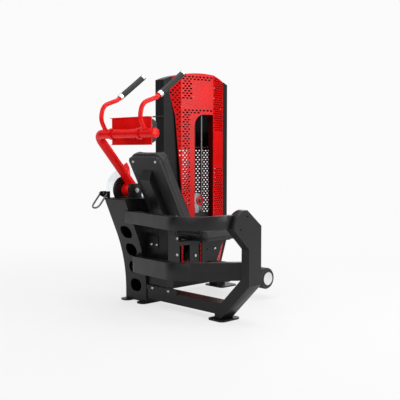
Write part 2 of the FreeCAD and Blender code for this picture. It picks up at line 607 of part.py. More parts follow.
def arched_outline(name, x, left_points, right_points, thickness, holes=()):
    """A plate square to X whose upper edge is the tower's arch, between two chains of (y, z) points."""
    left, right = left_points[-1][0], right_points[0][0]
    middle = (left + right) / 2
    chain = left_points[:-1] + [(left, arch_top(left))]
    other = [(right, arch_top(right))] + right_points[1:]
    edges = [Part.LineSegment(V(x, *a), V(x, *b)).toShape() for a, b in zip(chain, chain[1:])]
    edges.append(Part.Arc(V(x, *chain[-1]), V(x, middle, arch_top(middle)), V(x, *other[0])).toShape())
    edges += [Part.LineSegment(V(x, *a), V(x, *b)).toShape() for a, b in zip(other, other[1:])]
    edges.append(Part.LineSegment(V(x, *other[-1]), V(x, *chain[0])).toShape())
    face = feature(name + "_outline",
                   Part.makeFace([Part.Wire(edges)] + list(holes), "Part::FaceMakerBullseye"))
    item = doc.addObject("Part::Extrusion", name)
    item.Base = face
    item.DirMode = "Custom"
    item.Dir = X_AXIS
    item.Solid = True
    bind(item, "LengthFwd", thickness)
    return item


part("tower_cap", arched_outline("cap", v.tower_x, [(v.tower_y, cap_bottom), (v.tower_y, 0)],
                                 [(tower_end_y, 0), (tower_end_y, cap_bottom)], "tower_depth"))
part("rear_panel", arched_outline("rear_sheet", v.tower_x - v.rear_thickness,
                                  [(v.tower_y, v.rear_split), (v.tower_y, 0)],
                                  [(tower_end_y, 0), (tower_end_y, v.rear_split)], "rear_thickness"))
part("rear_grille",
     side_slab("grille_sheet",
               [(v.tower_y, beam_line), (v.rake_foot_y, beam_line), (tower_end_y, v.rake_top),
                (tower_end_y, v.rear_split - v.seat_gap), (v.tower_y, v.rear_split - v.seat_gap)],
               None, v.tower_x - v.rear_thickness, "rear_thickness"))
sheet_edge = [(v.sheet_left_out_y, v.sheet_bottom), (v.sheet_left_out_y, v.sheet_left_out_z),
              (v.sheet_left_in_y, v.sheet_left_in_z - v.upright_width),
              (v.sheet_left_in_y, v.sheet_left_in_z), (v.sheet_left_low_y, v.sheet_left_low_z),
              (v.sheet_left_mid_y, v.tower_apex - v.sheet_left_mid_drop),
              (v.sheet_left_wide_y, v.tower_apex - v.sheet_left_wide_drop), (v.sheet_left_top_y, 0)]
part("front_cover",
     arched_outline("cover", tower_front_x, [(v.tower_y, beam_line), (v.tower_y, 0)],
                    [(y - v.seat_gap, z) for y, z in reversed(sheet_edge)]
                    + [(v.sheet_left_out_y - v.seat_gap, beam_line)], "cover_thickness"))
right_edge = [(v.sheet_right_y, 0), (v.sheet_right_y, v.rake_top),
              (v.rake_foot_y - v.upright_width / 2, v.sheet_bottom)]
window_top = v.tower_apex - v.window_drop
window_low = [(v.window_y, v.window_bottom), (v.ridge_y, v.window_bottom), (v.ridge_y, window_top),
              (v.window_y, window_top)]
window = path([V(tower_front_x, y, z) for y, z in window_low],
              [v.window_sill, v.window_sill, 0, v.window_corner], closed=True)
sheet_blank = arched_outline("sheet_blank", tower_front_x, sheet_edge, right_edge,
                             "sheet_bulge + 2 * cover_thickness", [window])
fold_start_y = v.sheet_left_wide_y - v.cover_thickness
fold_points = [(tower_front_x + v.sheet_thickness, fold_start_y),
               (tower_front_x + v.cover_thickness + v.sheet_bulge, v.ridge_y),
               (tower_front_x + v.sheet_thickness, tower_end_y - v.upright_width),
               (tower_front_x + v.sheet_thickness, v.sheet_right_y + v.cover_thickness)]
inner_points = [(x - v.sheet_thickness, y) for x, y in reversed(fold_points)]
fold_wire = path([V(x, y, 0) for x, y in fold_points + inner_points],
                 [0, v.window_sill, 0, 0, 0, 0, v.window_sill - v.sheet_thickness, 0], closed=True)
fold_face = feature("fold_outline", Part.Face(fold_wire))
fold = doc.addObject("Part::Extrusion", "fold")
fold.Base = fold_face
fold.DirMode = "Custom"
fold.Dir = Z_AXIS
fold.Solid = True
bind(fold, "LengthFwd", "tower_apex")
sheet = doc.addObject("Part::Common", "sheet")
sheet.Base = sheet_blank
sheet.Tool = fold
part("front_shroud", sheet)

# Guide rods, their crossbar and the weight stack
rods = [rod(f"guide_rod_{number}",
            ("rod_x", f"stack_y {sign} rod_spacing / 2", "beam_bottom + side_beam_height"),
            Z_AXIS, "rod_radius", "tower_apex - crossbar_drop - beam_bottom - side_beam_height")
        for number, sign in enumerate("-+")]
part("guide_rods", *rods)
crossbar = box("crossbar_blank",
               ("tower_x + cable_hole_radius", "tower_y + upright_width", "tower_apex - crossbar_drop"),
               ("crossbar_depth", "tower_width - 2 * upright_width", "crossbar_height"))
cable_holes = [rod(f"crossbar_hole_{number}", ("cable_x", y, "tower_apex - crossbar_drop - cut_overrun"),
                   Z_AXIS, "cable_hole_radius", "crossbar_height + 2 * cut_overrun")
               for number, y in enumerate(("stack_y", "base_rear_y"))]
part("rod_crossbar", cut("crossbar_holed", crossbar, *cable_holes))


plate_height = "(plate_pitch - seat_gap)"


def weight_plate(name, level):
    """A cast plate with clearance holes for the guide rods."""
    z = f"beam_bottom + side_beam_height + {level} * plate_pitch"
    blank = box(name, ("stack_x", "stack_y - stack_width / 2", z),
                ("stack_depth", "stack_width", plate_height))
    holes = [rod(f"{name}_hole_{number}", ("rod_x", f"stack_y {sign} rod_spacing / 2", f"{z} - cut_overrun"),
                 Z_AXIS, "rod_radius + rod_play", f"{plate_height} + 2 * cut_overrun")
             for number, sign in enumerate("-+")]
    return cut(name + "_holed", blank, *holes)


low_count = int(v.low_plates)
lifted_count = int(v.lifted_plates)
part("weight_plates", *[weight_plate(f"low_plate_{number}", number) for number in range(low_count)])
pin_z = f"beam_bottom + side_beam_height + {low_count} * plate_pitch + {plate_height} / 2"
pin_hole = rod("pin_hole", ("stack_x + stack_depth - pin_length", "stack_y", pin_z), X_AXIS,
               "pin_radius + run_gap", "pin_length + cut_overrun")
lifted = [weight_plate(f"lifted_plate_{number}", low_count + number) for number in range(lifted_count)]
lifted[0] = cut("pinned_plate", lifted[0], pin_hole)
part("lifted_plates", *lifted)
part("selector_pin",
     join("pin", rod("pin_rod", ("stack_x + stack_depth - pin_length + pin_radius", "stack_y", pin_z), X_AXIS,
                     "pin_radius", "pin_length + seat_gap"),
          rod("pin_knob", ("stack_x + stack_depth + seat_gap", "stack_y", pin_z), X_AXIS, "pin_knob_radius",
              "pin_knob_length")))

# Yoke on the stack: two figure-of-eight plates about a roller, and the bolts through them
stack_top = f"beam_bottom + side_beam_height + {low_count + lifted_count} * plate_pitch"
yoke_low = f"({stack_top} + yoke_rise)"
yoke_high = f"({yoke_low} + yoke_lobe_pitch)"
yoke_plates = []
for number, shift in enumerate(("- yoke_gap / 2 - yoke_plate_thickness", "+ yoke_gap / 2")):
    x = f"cable_x {shift}"
    low = rod(f"lobe_low_{number}", (x, "stack_y", yoke_low), X_AXIS, "yoke_radius",
              "yoke_plate_thickness")
    high = rod(f"lobe_high_{number}", (x, "stack_y", yoke_high), X_AXIS, "yoke_radius",
               "yoke_plate_thickness")
    foot = box(f"yoke_foot_{number}", (x, "stack_y - yoke_radius / 2", stack_top),
               ("yoke_plate_thickness", "yoke_radius", "yoke_rise"))
    bore = rod(f"yoke_bore_{number}", (x, "stack_y", yoke_low), X_AXIS, "yoke_pin_radius",
               "yoke_plate_thickness")
    yoke_plates.append(cut(f"yoke_plate_{number}", join(f"yoke_blank_{number}", low, high, foot), bore))
block = box("yoke_block",
            ("cable_x - yoke_gap / 2", "stack_y - yoke_radius / 2", f"{yoke_high} - yoke_radius / 4"),
            ("yoke_gap", "yoke_radius", "yoke_radius / 2"))
part("stack_yoke", join("yoke", *yoke_plates, block))
roller_body = rod("yoke_roller_body", ("cable_x - yoke_gap / 2 + seat_gap", "stack_y", yoke_low), X_AXIS,
                  "yoke_roller_radius", "yoke_gap - 2 * seat_gap")
roller_pin = rod("yoke_roller_pin", ("cable_x - yoke_gap / 2 - yoke_plate_thickness", "stack_y", yoke_low),
                 X_AXIS, "yoke_pin_radius", "yoke_gap + 2 * yoke_plate_thickness")
part("yoke_roller", join("yoke_roller_turned", roller_body, roller_pin))


# Cable pulleys with their axles
def pulley(label, y, z):
    """A grooved pulley about X: two flanges on a narrower core, bored to run on its axle."""
    groove = v.pulley_line_radius - v.cable_radius - v.seat_gap / 2
    rim = v.pulley_line_radius + v.pulley_flange_reach
    bore = v.pulley_axle_radius + v.run_gap
    half, core = v.pulley_width / 2, v.pulley_groove / 2
    profile = [(-half, bore), (-half, rim), (-core, groove), (core, groove), (half, rim), (half, bore)]
    face = Part.Face(path([V(x, 0, r) for x, r in profile], [0] * len(profile), closed=True))
    turned = face.revolve(V(), X_AXIS, 360)
    turned.translate(V(v.cable_x, y, z))
    return part(label, feature(label + "_turned", turned))


def axle(name, y, z, start, length):
    return rod(name, (start, y, z), X_AXIS, "pulley_axle_radius", length)


top_run_z = v.tower_apex - v.top_run_drop
pulley("base_pulley_front", v.base_front_y, v.base_run_z + v.pulley_line_radius)
pulley("base_pulley_rear", v.base_rear_y - v.pulley_line_radius, v.base_run_z + v.pulley_line_radius)
pulley("top_pulley_left", v.base_rear_y + v.pulley_line_radius, top_run_z - v.pulley_line_radius)
pulley("top_pulley_middle", v.stack_y - v.pulley_line_radius, top_run_z - v.pulley_line_radius)
top_axle_z = "tower_apex - top_run_drop - pulley_line_radius"
top_axles = [axle("top_axle_left", "base_rear_y + pulley_line_radius", top_axle_z,
                  "cable_x - pulley_axle_length / 2", "pulley_axle_length"),
             axle("top_axle_middle", "stack_y - pulley_line_radius", top_axle_z,
                  "cable_x - pulley_axle_length / 2", "pulley_axle_length")]
base_axles = [axle("base_axle_front", "base_front_y", "base_run_z + pulley_line_radius",
                   "post_box_x + post_box_wall",
                   "cable_x - post_box_x - post_box_wall + pulley_axle_length / 2"),
              axle("base_axle_rear", "base_rear_y - pulley_line_radius", "base_run_z + pulley_line_radius",
                   "cable_x - pulley_axle_length / 2", "pulley_axle_length")]
part("pulley_axles", *top_axles, *base_axles, idler_axle)
brackets = []
margin = v.pulley_plate_margin
for number, x in enumerate((v.cable_x - v.pulley_axle_length / 2 + v.pulley_plate_thickness,
                            v.cable_x + v.pulley_axle_length / 2 - 2 * v.pulley_plate_thickness)):
    top_z = top_run_z - v.pulley_line_radius
    left_y = v.base_rear_y + v.pulley_line_radius
    middle_y = v.stack_y - v.pulley_line_radius
    bore = v.pulley_axle_radius
    brackets.append(side_slab(
        f"top_bracket_{number}",
        [(left_y - margin, cap_bottom), (left_y - margin, top_z - margin),
         (middle_y + margin, top_z - margin), (middle_y + margin, cap_bottom)],
        [0, margin / 2, margin / 2, 0], x, "pulley_plate_thickness",
        [((left_y, top_z), bore), ((middle_y, top_z), bore)]))
    rear_y = v.base_rear_y - v.pulley_line_radius
    rear_z = v.base_run_z + v.pulley_line_radius
    brackets.append(side_slab(
        f"base_bracket_{number}",
        [(rear_y - margin, beam_line), (rear_y - margin, rear_z + margin),
         (rear_y + margin, rear_z + margin), (rear_y + margin, beam_line)],
        [0, margin / 2, margin / 2, 0], x, "pulley_plate_thickness", [((rear_y, rear_z), bore)]))
part("pulley_brackets", *brackets)

# Pivot: shaft, bearing ears, cam and its clear guard
deck_top = v.post_top + v.deck_thickness
part("pivot_shaft", rod("shaft", ("shaft_x", "pivot_y", "pivot_z"), X_AXIS, "shaft_radius", "shaft_length"))
ear = side_slab("bearing_ear",
                [(v.pivot_y - v.ear_half, deck_top), (v.pivot_y + v.ear_half, deck_top),
                 (v.pivot_y + v.ear_half, v.pivot_z + v.ear_half),
                 (v.pivot_y - v.ear_half, v.pivot_z + v.ear_half)],
                [0, 0, v.ear_fillet, v.ear_fillet], v.ear_x, "ear_thickness",
                [((v.pivot_y, v.pivot_z), v.shaft_radius + v.run_gap)])
block = side_slab("bearing_block",
                  [(v.pivot_y - v.block_half, deck_top), (v.pivot_y + v.block_half, deck_top),
                   (v.pivot_y + v.block_half, v.pivot_z + v.block_half),
                   (v.pivot_y - v.block_half, v.pivot_z + v.block_half)],
                  [0, 0, v.ear_thickness, v.ear_thickness], v.block_x, "block_thickness",
                  [((v.pivot_y, v.pivot_z), v.shaft_radius + v.run_gap)])
part("pivot_bearings", ear, block)
cam_rim = v.cam_radius + v.pulley_flange_reach - v.cable_radius
cam_floor = v.cam_radius - v.cable_radius - v.seat_gap
half, core = v.pulley_width / 2, v.pulley_groove / 2
profile = [(-half, v.shaft_radius), (-half, cam_rim), (-core, cam_floor), (core, cam_floor), (half, cam_rim),
           (half, v.shaft_radius)]
cam_shape = Part.Face(path([V(x, 0, r) for x, r in profile], [0] * len(profile), closed=True))
cam_shape = cam_shape.revolve(V(), X_AXIS, 360)
cam_shape.translate(V(v.cable_x, v.pivot_y, v.pivot_z))
part("cam_disc", feature("cam", cam_shape))


def half_disc(name, x, radius, thickness, opening=0):
    """Upper half of a disc about the pivot, square to X, with an opening round the shaft."""
    middle = V(x, v.pivot_y, v.pivot_z)
    rim = [middle + Y_AXIS * radius, middle + Z_AXIS * radius, middle - Y_AXIS * radius]
    if opening:
        bow = [middle - Y_AXIS * opening, middle + Z_AXIS * opening, middle + Y_AXIS * opening]
        edges = [Part.Arc(*rim).toShape(), Part.LineSegment(rim[2], bow[0]).toShape(),
                 Part.Arc(*bow).toShape(), Part.LineSegment(bow[2], rim[0]).toShape()]
    else:
        edges = [Part.Arc(*rim).toShape(), Part.LineSegment(rim[2], rim[0]).toShape()]
    face = feature(name + "_outline", Part.Face(Part.Wire(edges)))
    item = doc.addObject("Part::Extrusion", name)
    item.Base = face
    item.DirMode = "Custom"
    item.Dir = X_AXIS
    item.Solid = True
    bind(item, "LengthFwd", thickness)
    return item


guard_end_x = v.guard_x + v.guard_width
guard = join("guard",
             half_disc("guard_outer_wall", v.guard_x, v.guard_radius, "guard_wall",
                       v.shaft_radius + v.pin_radius),
             half_disc("guard_inner_wall", guard_end_x - v.guard_wall, v.guard_radius, "guard_wall",
                       v.shaft_radius + v.pin_radius),
             half_disc("guard_rim", v.guard_x, v.guard_radius, "guard_width", v.guard_radius - v.guard_wall))
part("cam_guard", guard)

# Cable: from the cam down the column, along the base, up the tower and over to the stack
cam_line = v.cam_radius
corner_y, corner_z = v.base_front_y - v.pulley_line_radius, v.base_run_z
reach = math.hypot(corner_y - v.pivot_y, corner_z - v.pivot_z)
toward = math.atan2(corner_z - v.pivot_z, corner_y - v.pivot_y)
tangent = toward - math.acos(cam_line / reach)
cable_start = V(v.cable_x, v.pivot_y + cam_line * math.cos(tangent),
                v.pivot_z + cam_line * math.sin(tangent))
cable_points = [cable_start, V(v.cable_x, corner_y, corner_z), V(v.cable_x, v.base_rear_y, corner_z),
                V(v.cable_x, v.base_rear_y, top_run_z), V(v.cable_x, v.stack_y, top_run_z),
                V(v.cable_x, v.stack_y, top_run_z - v.pulley_line_radius)]
part("drive_cable", pipe("cable", cable_points, [0] + [v.pulley_line_radius] * 3 + [v.last_bend_radius, 0],
                         v.cable_radius))
part("stack_cable", rod("stack_cable_run", ("cable_x", "stack_y", f"{yoke_high} + yoke_radius / 4"), Z_AXIS,
                        "cable_radius", f"{top_axle_z} - {yoke_high} - yoke_radius / 4"))

# Crunch arm: one bent tube with its hub, gusset and end plate
arm_points = [V(v.arm_x, v.arm_start_y, v.arm_start_z), V(v.arm_x, v.arm_bend_y, v.arm_bend_z),
              V(v.arm_end_x, v.arm_bend_y, v.arm_bend_z)]
arm_tube = pipe("arm_tube", arm_points, [0, v.arm_bend_radius, 0], v.arm_radius)
hub = rod("hub", ("hub_x", "pivot_y", "pivot_z"), X_AXIS, "hub_radius", "hub_length")
hub_bore = rod("hub_bore", ("hub_x - cut_overrun", "pivot_y", "pivot_z"), X_AXIS, "shaft_radius",
               "hub_length + 2 * cut_overrun")
GUSSET_SHARES = ((0.5, 0.5), (0, 3.6), (-0.5, 4.4), (-1, 4.1), (-1.6, 2.6))
gusset = side_slab("gusset",
                   [(v.pivot_y + y * v.hub_radius, v.pivot_z + z * v.hub_radius) for y, z in GUSSET_SHARES],
                   None, v.arm_x - v.gusset_thickness / 2, "gusset_thickness")
part("crunch_arm", cut("arm", join("arm_blank", arm_tube, hub, gusset), hub_bore))


# Handles: bent bars on the arm, each with a collar, a rubber grip and an end cap
rise = math.radians(v.grip_rise)
grip_line = V(0, math.cos(rise), math.sin(rise))
bars, grips, fittings = [], [], []
for side, x in (("left", v.left_handle_x), ("right", v.right_handle_x)):
    turn = V(x, v.arm_bend_y + v.handle_turn_reach, v.arm_bend_z + v.handle_turn_rise)
    stub_end = turn + grip_line * v.handle_stub
    points = [V(x, v.arm_bend_y, v.arm_bend_z),
              V(x, v.arm_bend_y - v.handle_back_reach, v.arm_bend_z + v.handle_back_rise),
              V(x, v.arm_bend_y - v.handle_high_reach, v.arm_bend_z + v.handle_high_rise), turn, stub_end]
    bar = pipe(f"bar_{side}", points, [0, v.handle_low_bend, v.handle_high_bend, v.handle_last_bend, 0],
               v.handle_radius)
    clearance = rod(f"bar_cut_{side}", (f"{side}_handle_x - 2 * handle_radius", "arm_bend_y", "arm_bend_z"),
                    X_AXIS, "arm_radius", "4 * handle_radius")
    bars.append(cut(f"bar_fitted_{side}", bar, clearance))
    collar_end = stub_end + grip_line * v.collar_length
    grip_end = collar_end + grip_line * v.grip_length
    for lot, name, radius, length, start in (
            (fittings, "collar", v.collar_radius, v.collar_length, stub_end),
            (grips, "grip_rubber", v.grip_radius, v.grip_length, collar_end),
            (fittings, "grip_cap", v.grip_cap_radius, v.grip_cap_length, grip_end)):
        lot.append(feature(f"{name}_{side}", Part.makeCylinder(radius, length, start, grip_line)))
part("handle_bars", *bars)
part("grips", *grips)
part("grip_fittings", *fittings)

# Pad bracket: a folded tray bolted through two saddles round the tube, and the chest pad before it
plate_y = v.arm_bend_y + v.arm_radius + v.saddle_wall
tray_z = v.arm_bend_z - v.bracket_below
top_z = tray_z + v.bracket_height
tray = slab("tray",
            [(plate_y, tray_z), (plate_y - v.bracket_flange, tray_z - v.bracket_wall),
             (plate_y + v.bracket_wall, tray_z - v.bracket_wall),
             (plate_y + v.bracket_wall, top_z + v.bracket_wall),
             (plate_y - v.bracket_flange, top_z + v.bracket_wall), (plate_y, top_z)],
            None, X_AXIS * v.bracket_x, Y_AXIS, Z_AXIS, "bracket_width")
saddles = []
for number, x in enumerate(("bracket_x + saddle_inset",
                            "bracket_x + bracket_width - saddle_inset - saddle_width")):
    ring = rod(f"saddle_ring_{number}", (x, "arm_bend_y", "arm_bend_z"), X_AXIS, "arm_radius + saddle_wall",
               "saddle_width")
    foot = box(f"saddle_foot_{number}", (x, "arm_bend_y", "arm_bend_z - arm_radius"),
               ("saddle_width", "arm_radius + saddle_wall", "2 * arm_radius"))
    bore = rod(f"saddle_bore_{number}", (x, "arm_bend_y", "arm_bend_z"), X_AXIS, "arm_radius", "saddle_width")
    saddles.append(cut(f"saddle_{number}", join(f"saddle_blank_{number}", ring, foot), bore))
part("pad_bracket", join("bracket", tray, *saddles))
pad_y = plate_y + v.bracket_wall + v.seat_gap


def pad_ring(x, inset):
    """The pad's D-shaped section, flat on the bracket and round towards the chest."""
    low, high = tray_z + inset, top_z - inset
    middle = (low + high) / 2
    front = pad_y + v.pad_depth - inset
    side = pad_y + v.pad_depth / 3
    return Part.Wire([
        Part.LineSegment(V(x, pad_y, high), V(x, pad_y, low)).toShape(),
        Part.LineSegment(V(x, pad_y, low), V(x, side, low)).toShape(),
        Part.Arc(V(x, side, low), V(x, front, middle), V(x, side, high)).toShape(),
        Part.LineSegment(V(x, side, high), V(x, pad_y, high)).toShape()])


pad_end = v.bracket_x + v.bracket_width
pad_rings = [pad_ring(x, inset) for x, inset in (
    (v.bracket_x, v.pad_edge), (v.bracket_x + v.pad_edge / 2, v.pad_edge / 4),
    (v.bracket_x + 2 * v.pad_edge, 0), (pad_end - 2 * v.pad_edge, 0),
    (pad_end - v.pad_edge / 2, v.pad_edge / 4), (pad_end, v.pad_edge))]
part("chest_pad", feature("pad_foam", Part.makeLoft(pad_rings, True, True)))

# Range-of-motion loop: a bent bar on two lugs behind the column's top
loop_end_x = v.loop_x + v.loop_width
loop_tip_y, loop_tip_z = v.loop_y + v.loop_reach_y, v.loop_z - v.loop_drop
loop_points = [V(v.loop_x + v.loop_radius, v.loop_y, v.loop_z),
               V(v.loop_x + v.loop_radius, loop_tip_y, loop_tip_z),
               V(loop_end_x - v.loop_radius, loop_tip_y, loop_tip_z),
               V(loop_end_x - v.loop_radius, v.loop_y, v.loop_z)]
loop_bar = pipe("loop_bar", loop_points, [0, v.loop_bend_radius, v.loop_bend_radius, 0], v.loop_radius)
loop_pin = rod("loop_pin", ("loop_x - loop_radius / 2", "loop_y", "loop_z"), X_AXIS, "loop_radius + seat_gap",
               "loop_width + loop_radius")
part("rom_loop", join("loop", loop_bar, loop_pin))
lugs = []
lug_middle = v.loop_x + v.loop_width / 2
for number, x in enumerate((lug_middle - v.lug_gap / 2, lug_middle + v.lug_gap / 2 - v.lug_thickness)):
    lugs.append(side_slab(f"lug_{number}",
                          [(v.loop_y - v.lug_half, v.loop_z - v.lug_half),
                           (v.loop_y - v.lug_half, v.loop_z + v.lug_half),
                           (v.post_top_rear_y + v.lug_half, v.loop_z + v.lug_half),
                           (v.post_top_rear_y + v.lug_half, deck_top), (v.post_top_rear_y, deck_top)],
                          [v.lug_half / 2, v.lug_half / 2, 0, 0, 0], x, "lug_thickness",
                          [((v.loop_y, v.loop_z), v.loop_radius + v.seat_gap + v.run_gap)]))
part("rom_lugs", *lugs)

# Small hook on the tower's side
part("side_hook",
     join("hook",
          rod("hook_stem", ("tower_x + tower_depth / 2", "tower_y - hook_reach", "tower_apex - hook_drop"),
              Y_AXIS, "hook_radius", "hook_reach"),
          rod("hook_bar", ("tower_x - hook_overhang", "tower_y - hook_reach", "tower_apex - hook_drop"),
              X_AXIS, "hook_radius", "tower_depth + 2 * hook_overhang")))

# Bolt heads, seated on the faces that they hold
rear_face = "column_rear_y + web_set_back - bracket_thickness - bolt_height"
heads = []
for number, (x, y, z) in enumerate((
        ("post_x - 3 * bracket_thickness", rear_face, "post_height - bracket_bolt_drop"),
        ("post_box_x + post_box_width + 6 * bracket_thickness", rear_face, "post_height - bracket_bolt_drop"),
        ("post_box_x + post_box_width + 8 * bracket_thickness",
         "column_rear_y - bracket_thickness - bolt_height",
         "beam_bottom + near_beam_height + bracket_thickness"),
        ("post_x + post_width + 2 * bracket_thickness", "column_rear_y - bracket_thickness - bolt_height",
         "beam_bottom + near_beam_height + bracket_thickness"))):
    heads.append(rod(f"head_{number}", (x, y, z), Y_AXIS, "bolt_radius", "bolt_height"))
for number, (y, z) in enumerate((("nose_bolt_y", "nose_bolt_z"), ("tail_bolt_y", "tail_bolt_low"),
                                 ("tail_bolt_y", "tail_bolt_high"))):
    heads.append(rod(f"side_head_{number}", ("post_x + post_width + side_plate_thickness", y, z), X_AXIS,
                     "bolt_radius", "bolt_height"))
BACK_BOLT_SHARES = ((-0.36, 0.94), (0.36, 0.94), (-0.3, 0.56), (-0.36, 0.2), (0.36, 0.2))
for number, (x, up) in enumerate(BACK_BOLT_SHARES):
    middle = back_origin + X_AXIS * (x * v.back_board_width) + back_up * (up * v.back_board_length)
    heads.append(feature(f"back_head_{number}",
                         Part.makeCylinder(v.bolt_radius, v.bolt_height, middle, back_out * -1)))
part("frame_bolts", *heads)

# Check every object, move the finished parts over the origin and write them
doc.recompute()
for item in doc.Objects:
    if "Invalid" in item.State or "Error" in item.State:
        raise RuntimeError(f"{item.Name} failed: {item.State}")
overall = FreeCAD.BoundBox()
for item in parts:
    if item.Shape.isNull() or not item.Shape.isValid():
        raise RuntimeError(f"{item.Label} has no valid shape")
    overall.add(item.Shape.BoundBox)
shift = V(-overall.Center.x, -overall.Center.y, 0)
os.makedirs("parts", exist_ok=True)
for item in parts:
    item.Placement = FreeCAD.Placement(shift, FreeCAD.Rotation())
doc.recompute()
for item in parts:
    item.Shape.exportStep(f"parts/{item.Label}.step")
print("parts", len(parts), "origin shift", round(shift.x, 3), round(shift.y, 3),
      "size", round(overall.XLength, 1), round(overall.YLength, 1), round(overall.ZLength, 1))
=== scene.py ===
import math
import bmesh
import bpy
from mathutils import Matrix, Vector
from mathutils.bvhtree import BVHTree


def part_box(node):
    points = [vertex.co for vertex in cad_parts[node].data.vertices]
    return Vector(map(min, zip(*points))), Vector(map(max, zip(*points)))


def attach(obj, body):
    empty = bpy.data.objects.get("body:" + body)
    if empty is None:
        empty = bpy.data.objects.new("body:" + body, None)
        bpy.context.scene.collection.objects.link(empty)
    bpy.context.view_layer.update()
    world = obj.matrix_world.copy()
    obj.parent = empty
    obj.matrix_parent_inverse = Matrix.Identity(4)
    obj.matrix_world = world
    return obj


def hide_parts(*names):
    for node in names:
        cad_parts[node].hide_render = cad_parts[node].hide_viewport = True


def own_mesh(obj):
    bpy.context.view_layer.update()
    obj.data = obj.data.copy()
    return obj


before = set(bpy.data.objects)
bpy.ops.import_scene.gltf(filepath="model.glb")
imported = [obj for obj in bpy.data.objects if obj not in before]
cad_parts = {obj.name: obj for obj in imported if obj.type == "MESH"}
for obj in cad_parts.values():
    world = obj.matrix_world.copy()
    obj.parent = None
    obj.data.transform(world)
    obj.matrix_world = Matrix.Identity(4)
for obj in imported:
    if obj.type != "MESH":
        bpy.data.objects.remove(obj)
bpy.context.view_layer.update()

scene = bpy.context.scene

# The machine stands on a pale studio floor in an even white surround. A long lens looks at it from
# behind and to the right of the seat, a little above the handles' height.
EYE_PLACE = (3.3293, -3.3263, 1.024)
LENS, SENSOR_WIDTH, LOOK_DOWN, LOOK_TURN = 64.8, 36, 3.97, 46
eye = bpy.data.cameras.new("eye")
eye.lens = LENS
eye.sensor_width = SENSOR_WIDTH
camera = bpy.data.objects.new("eye", eye)
camera.location = EYE_PLACE
camera.rotation_euler = (math.radians(90 - LOOK_DOWN), 0, math.radians(LOOK_TURN))
scene.collection.objects.link(camera)
scene.camera = camera
scene.view_settings.view_transform = "Standard"
PALE = 0.96


def rays_seen(tree, *kinds):
    """One where a ray is of one of these kinds, zero elsewhere."""
    path = tree.nodes.new("ShaderNodeLightPath")
    total = path.outputs[kinds[0]]
    for kind in kinds[1:]:
        either = tree.nodes.new("ShaderNodeMath")
        either.operation = "MAXIMUM"
        tree.links.new(total, either.inputs[0])
        tree.links.new(path.outputs[kind], either.inputs[1])
        total = either.outputs[0]
    return total


surround = bpy.data.worlds.new("surround")
surround.use_nodes = True
scene.world = surround
sky = surround.node_tree
sky.nodes.clear()
shown = None
FILL, MIRRORED = 0.5, 0.62
for strength, kinds in ((FILL, ()), (MIRRORED, ("Is Glossy Ray",)), (PALE, ("Is Camera Ray", "Is Transmission Ray"))):
    background = sky.nodes.new("ShaderNodeBackground")
    background.inputs["Color"].default_value = (1, 1, 1, 1)
    background.inputs["Strength"].default_value = strength
    if shown:
        sky_mix = sky.nodes.new("ShaderNodeMixShader")
        sky.links.new(rays_seen(sky, *kinds), sky_mix.inputs[0])
        sky.links.new(shown, sky_mix.inputs[1])
        sky.links.new(background.outputs[0], sky_mix.inputs[2])
        shown = sky_mix.outputs[0]
    else:
        shown = background.outputs[0]
sky.links.new(shown, sky.nodes.new("ShaderNodeOutputWorld").inputs["Surface"])


def softbox(name, place, aim, width, height, watts):
    lamp = bpy.data.lights.new(name, "AREA")
    lamp.shape = "RECTANGLE"
    lamp.size, lamp.size_y, lamp.energy = width, height, watts
    stand = bpy.data.objects.new(name, lamp)
    stand.location = place
    stand.rotation_euler = (Vector(aim) - Vector(place)).to_track_quat("-Z", "Y").to_euler()
    scene.collection.objects.link(stand)


softbox("light_right", (3.6, 1.4, 1.9), (-0.3, 0.2, 0.8), 2.4, 2.4, 70)
softbox("light_behind", (0.9, -4.0, 2.3), (0, 0, 0.8), 2.4, 2.0, 25)
softbox("light_front", (-2.4, 3.4, 2.6), (0, 0, 0.7), 2.6, 2.0, 45)
softbox("light_above", (0.4, -0.2, 4.2), (0, 0, 0), 2.6, 2.6, 55)

FLOOR_HALF, SHADOW_NEAR, SHADOW_FAR, NEAR_GLOW = 40, 0.9, 3.6, 0.72
floor_mesh = bpy.data.meshes.new("studio_floor")
floor_mesh.from_pydata([(-FLOOR_HALF, -FLOOR_HALF, 0), (FLOOR_HALF, -FLOOR_HALF, 0), (FLOOR_HALF, FLOOR_HALF, 0),
                        (-FLOOR_HALF, FLOOR_HALF, 0)], [], [(0, 1, 2, 3)])
floor = bpy.data.objects.new("studio_floor", floor_mesh)
scene.collection.objects.link(floor)
floor_paint = bpy.data.materials.new("studio_floor")
floor_paint.use_nodes = True
tree = floor_paint.node_tree
matt = tree.nodes["Principled BSDF"]
matt.inputs["Base Color"].default_value = (0.92, 0.92, 0.92, 1)
matt.inputs["Roughness"].default_value = 0.9
matt.inputs["Specular IOR Level"].default_value = 0.1
glow = tree.nodes.new("ShaderNodeEmission")
glow.inputs["Color"].default_value = (PALE, PALE, PALE, 1)
away = tree.nodes.new("ShaderNodeVectorMath")
away.operation = "LENGTH"
tree.links.new(tree.nodes.new("ShaderNodeTexCoord").outputs["Object"], away.inputs[0])
fade = tree.nodes.new("ShaderNodeMapRange")
fade.interpolation_type = "SMOOTHSTEP"
for label, value in (("From Min", SHADOW_NEAR), ("From Max", SHADOW_FAR), ("To Min", NEAR_GLOW), ("To Max", 1.0)):
    fade.inputs[label].default_value = value
share = tree.nodes.new("ShaderNodeMath")
share.operation = "MULTIPLY"
floor_mix = tree.nodes.new("ShaderNodeMixShader")
tree.links.new(away.outputs["Value"], fade.inputs["Value"])
tree.links.new(fade.outputs["Result"], share.inputs[0])
tree.links.new(rays_seen(tree, "Is Camera Ray", "Is Transmission Ray"), share.inputs[1])
tree.links.new(share.outputs[0], floor_mix.inputs[0])
tree.links.new(matt.outputs[0], floor_mix.inputs[1])
tree.links.new(glow.outputs[0], floor_mix.inputs[2])
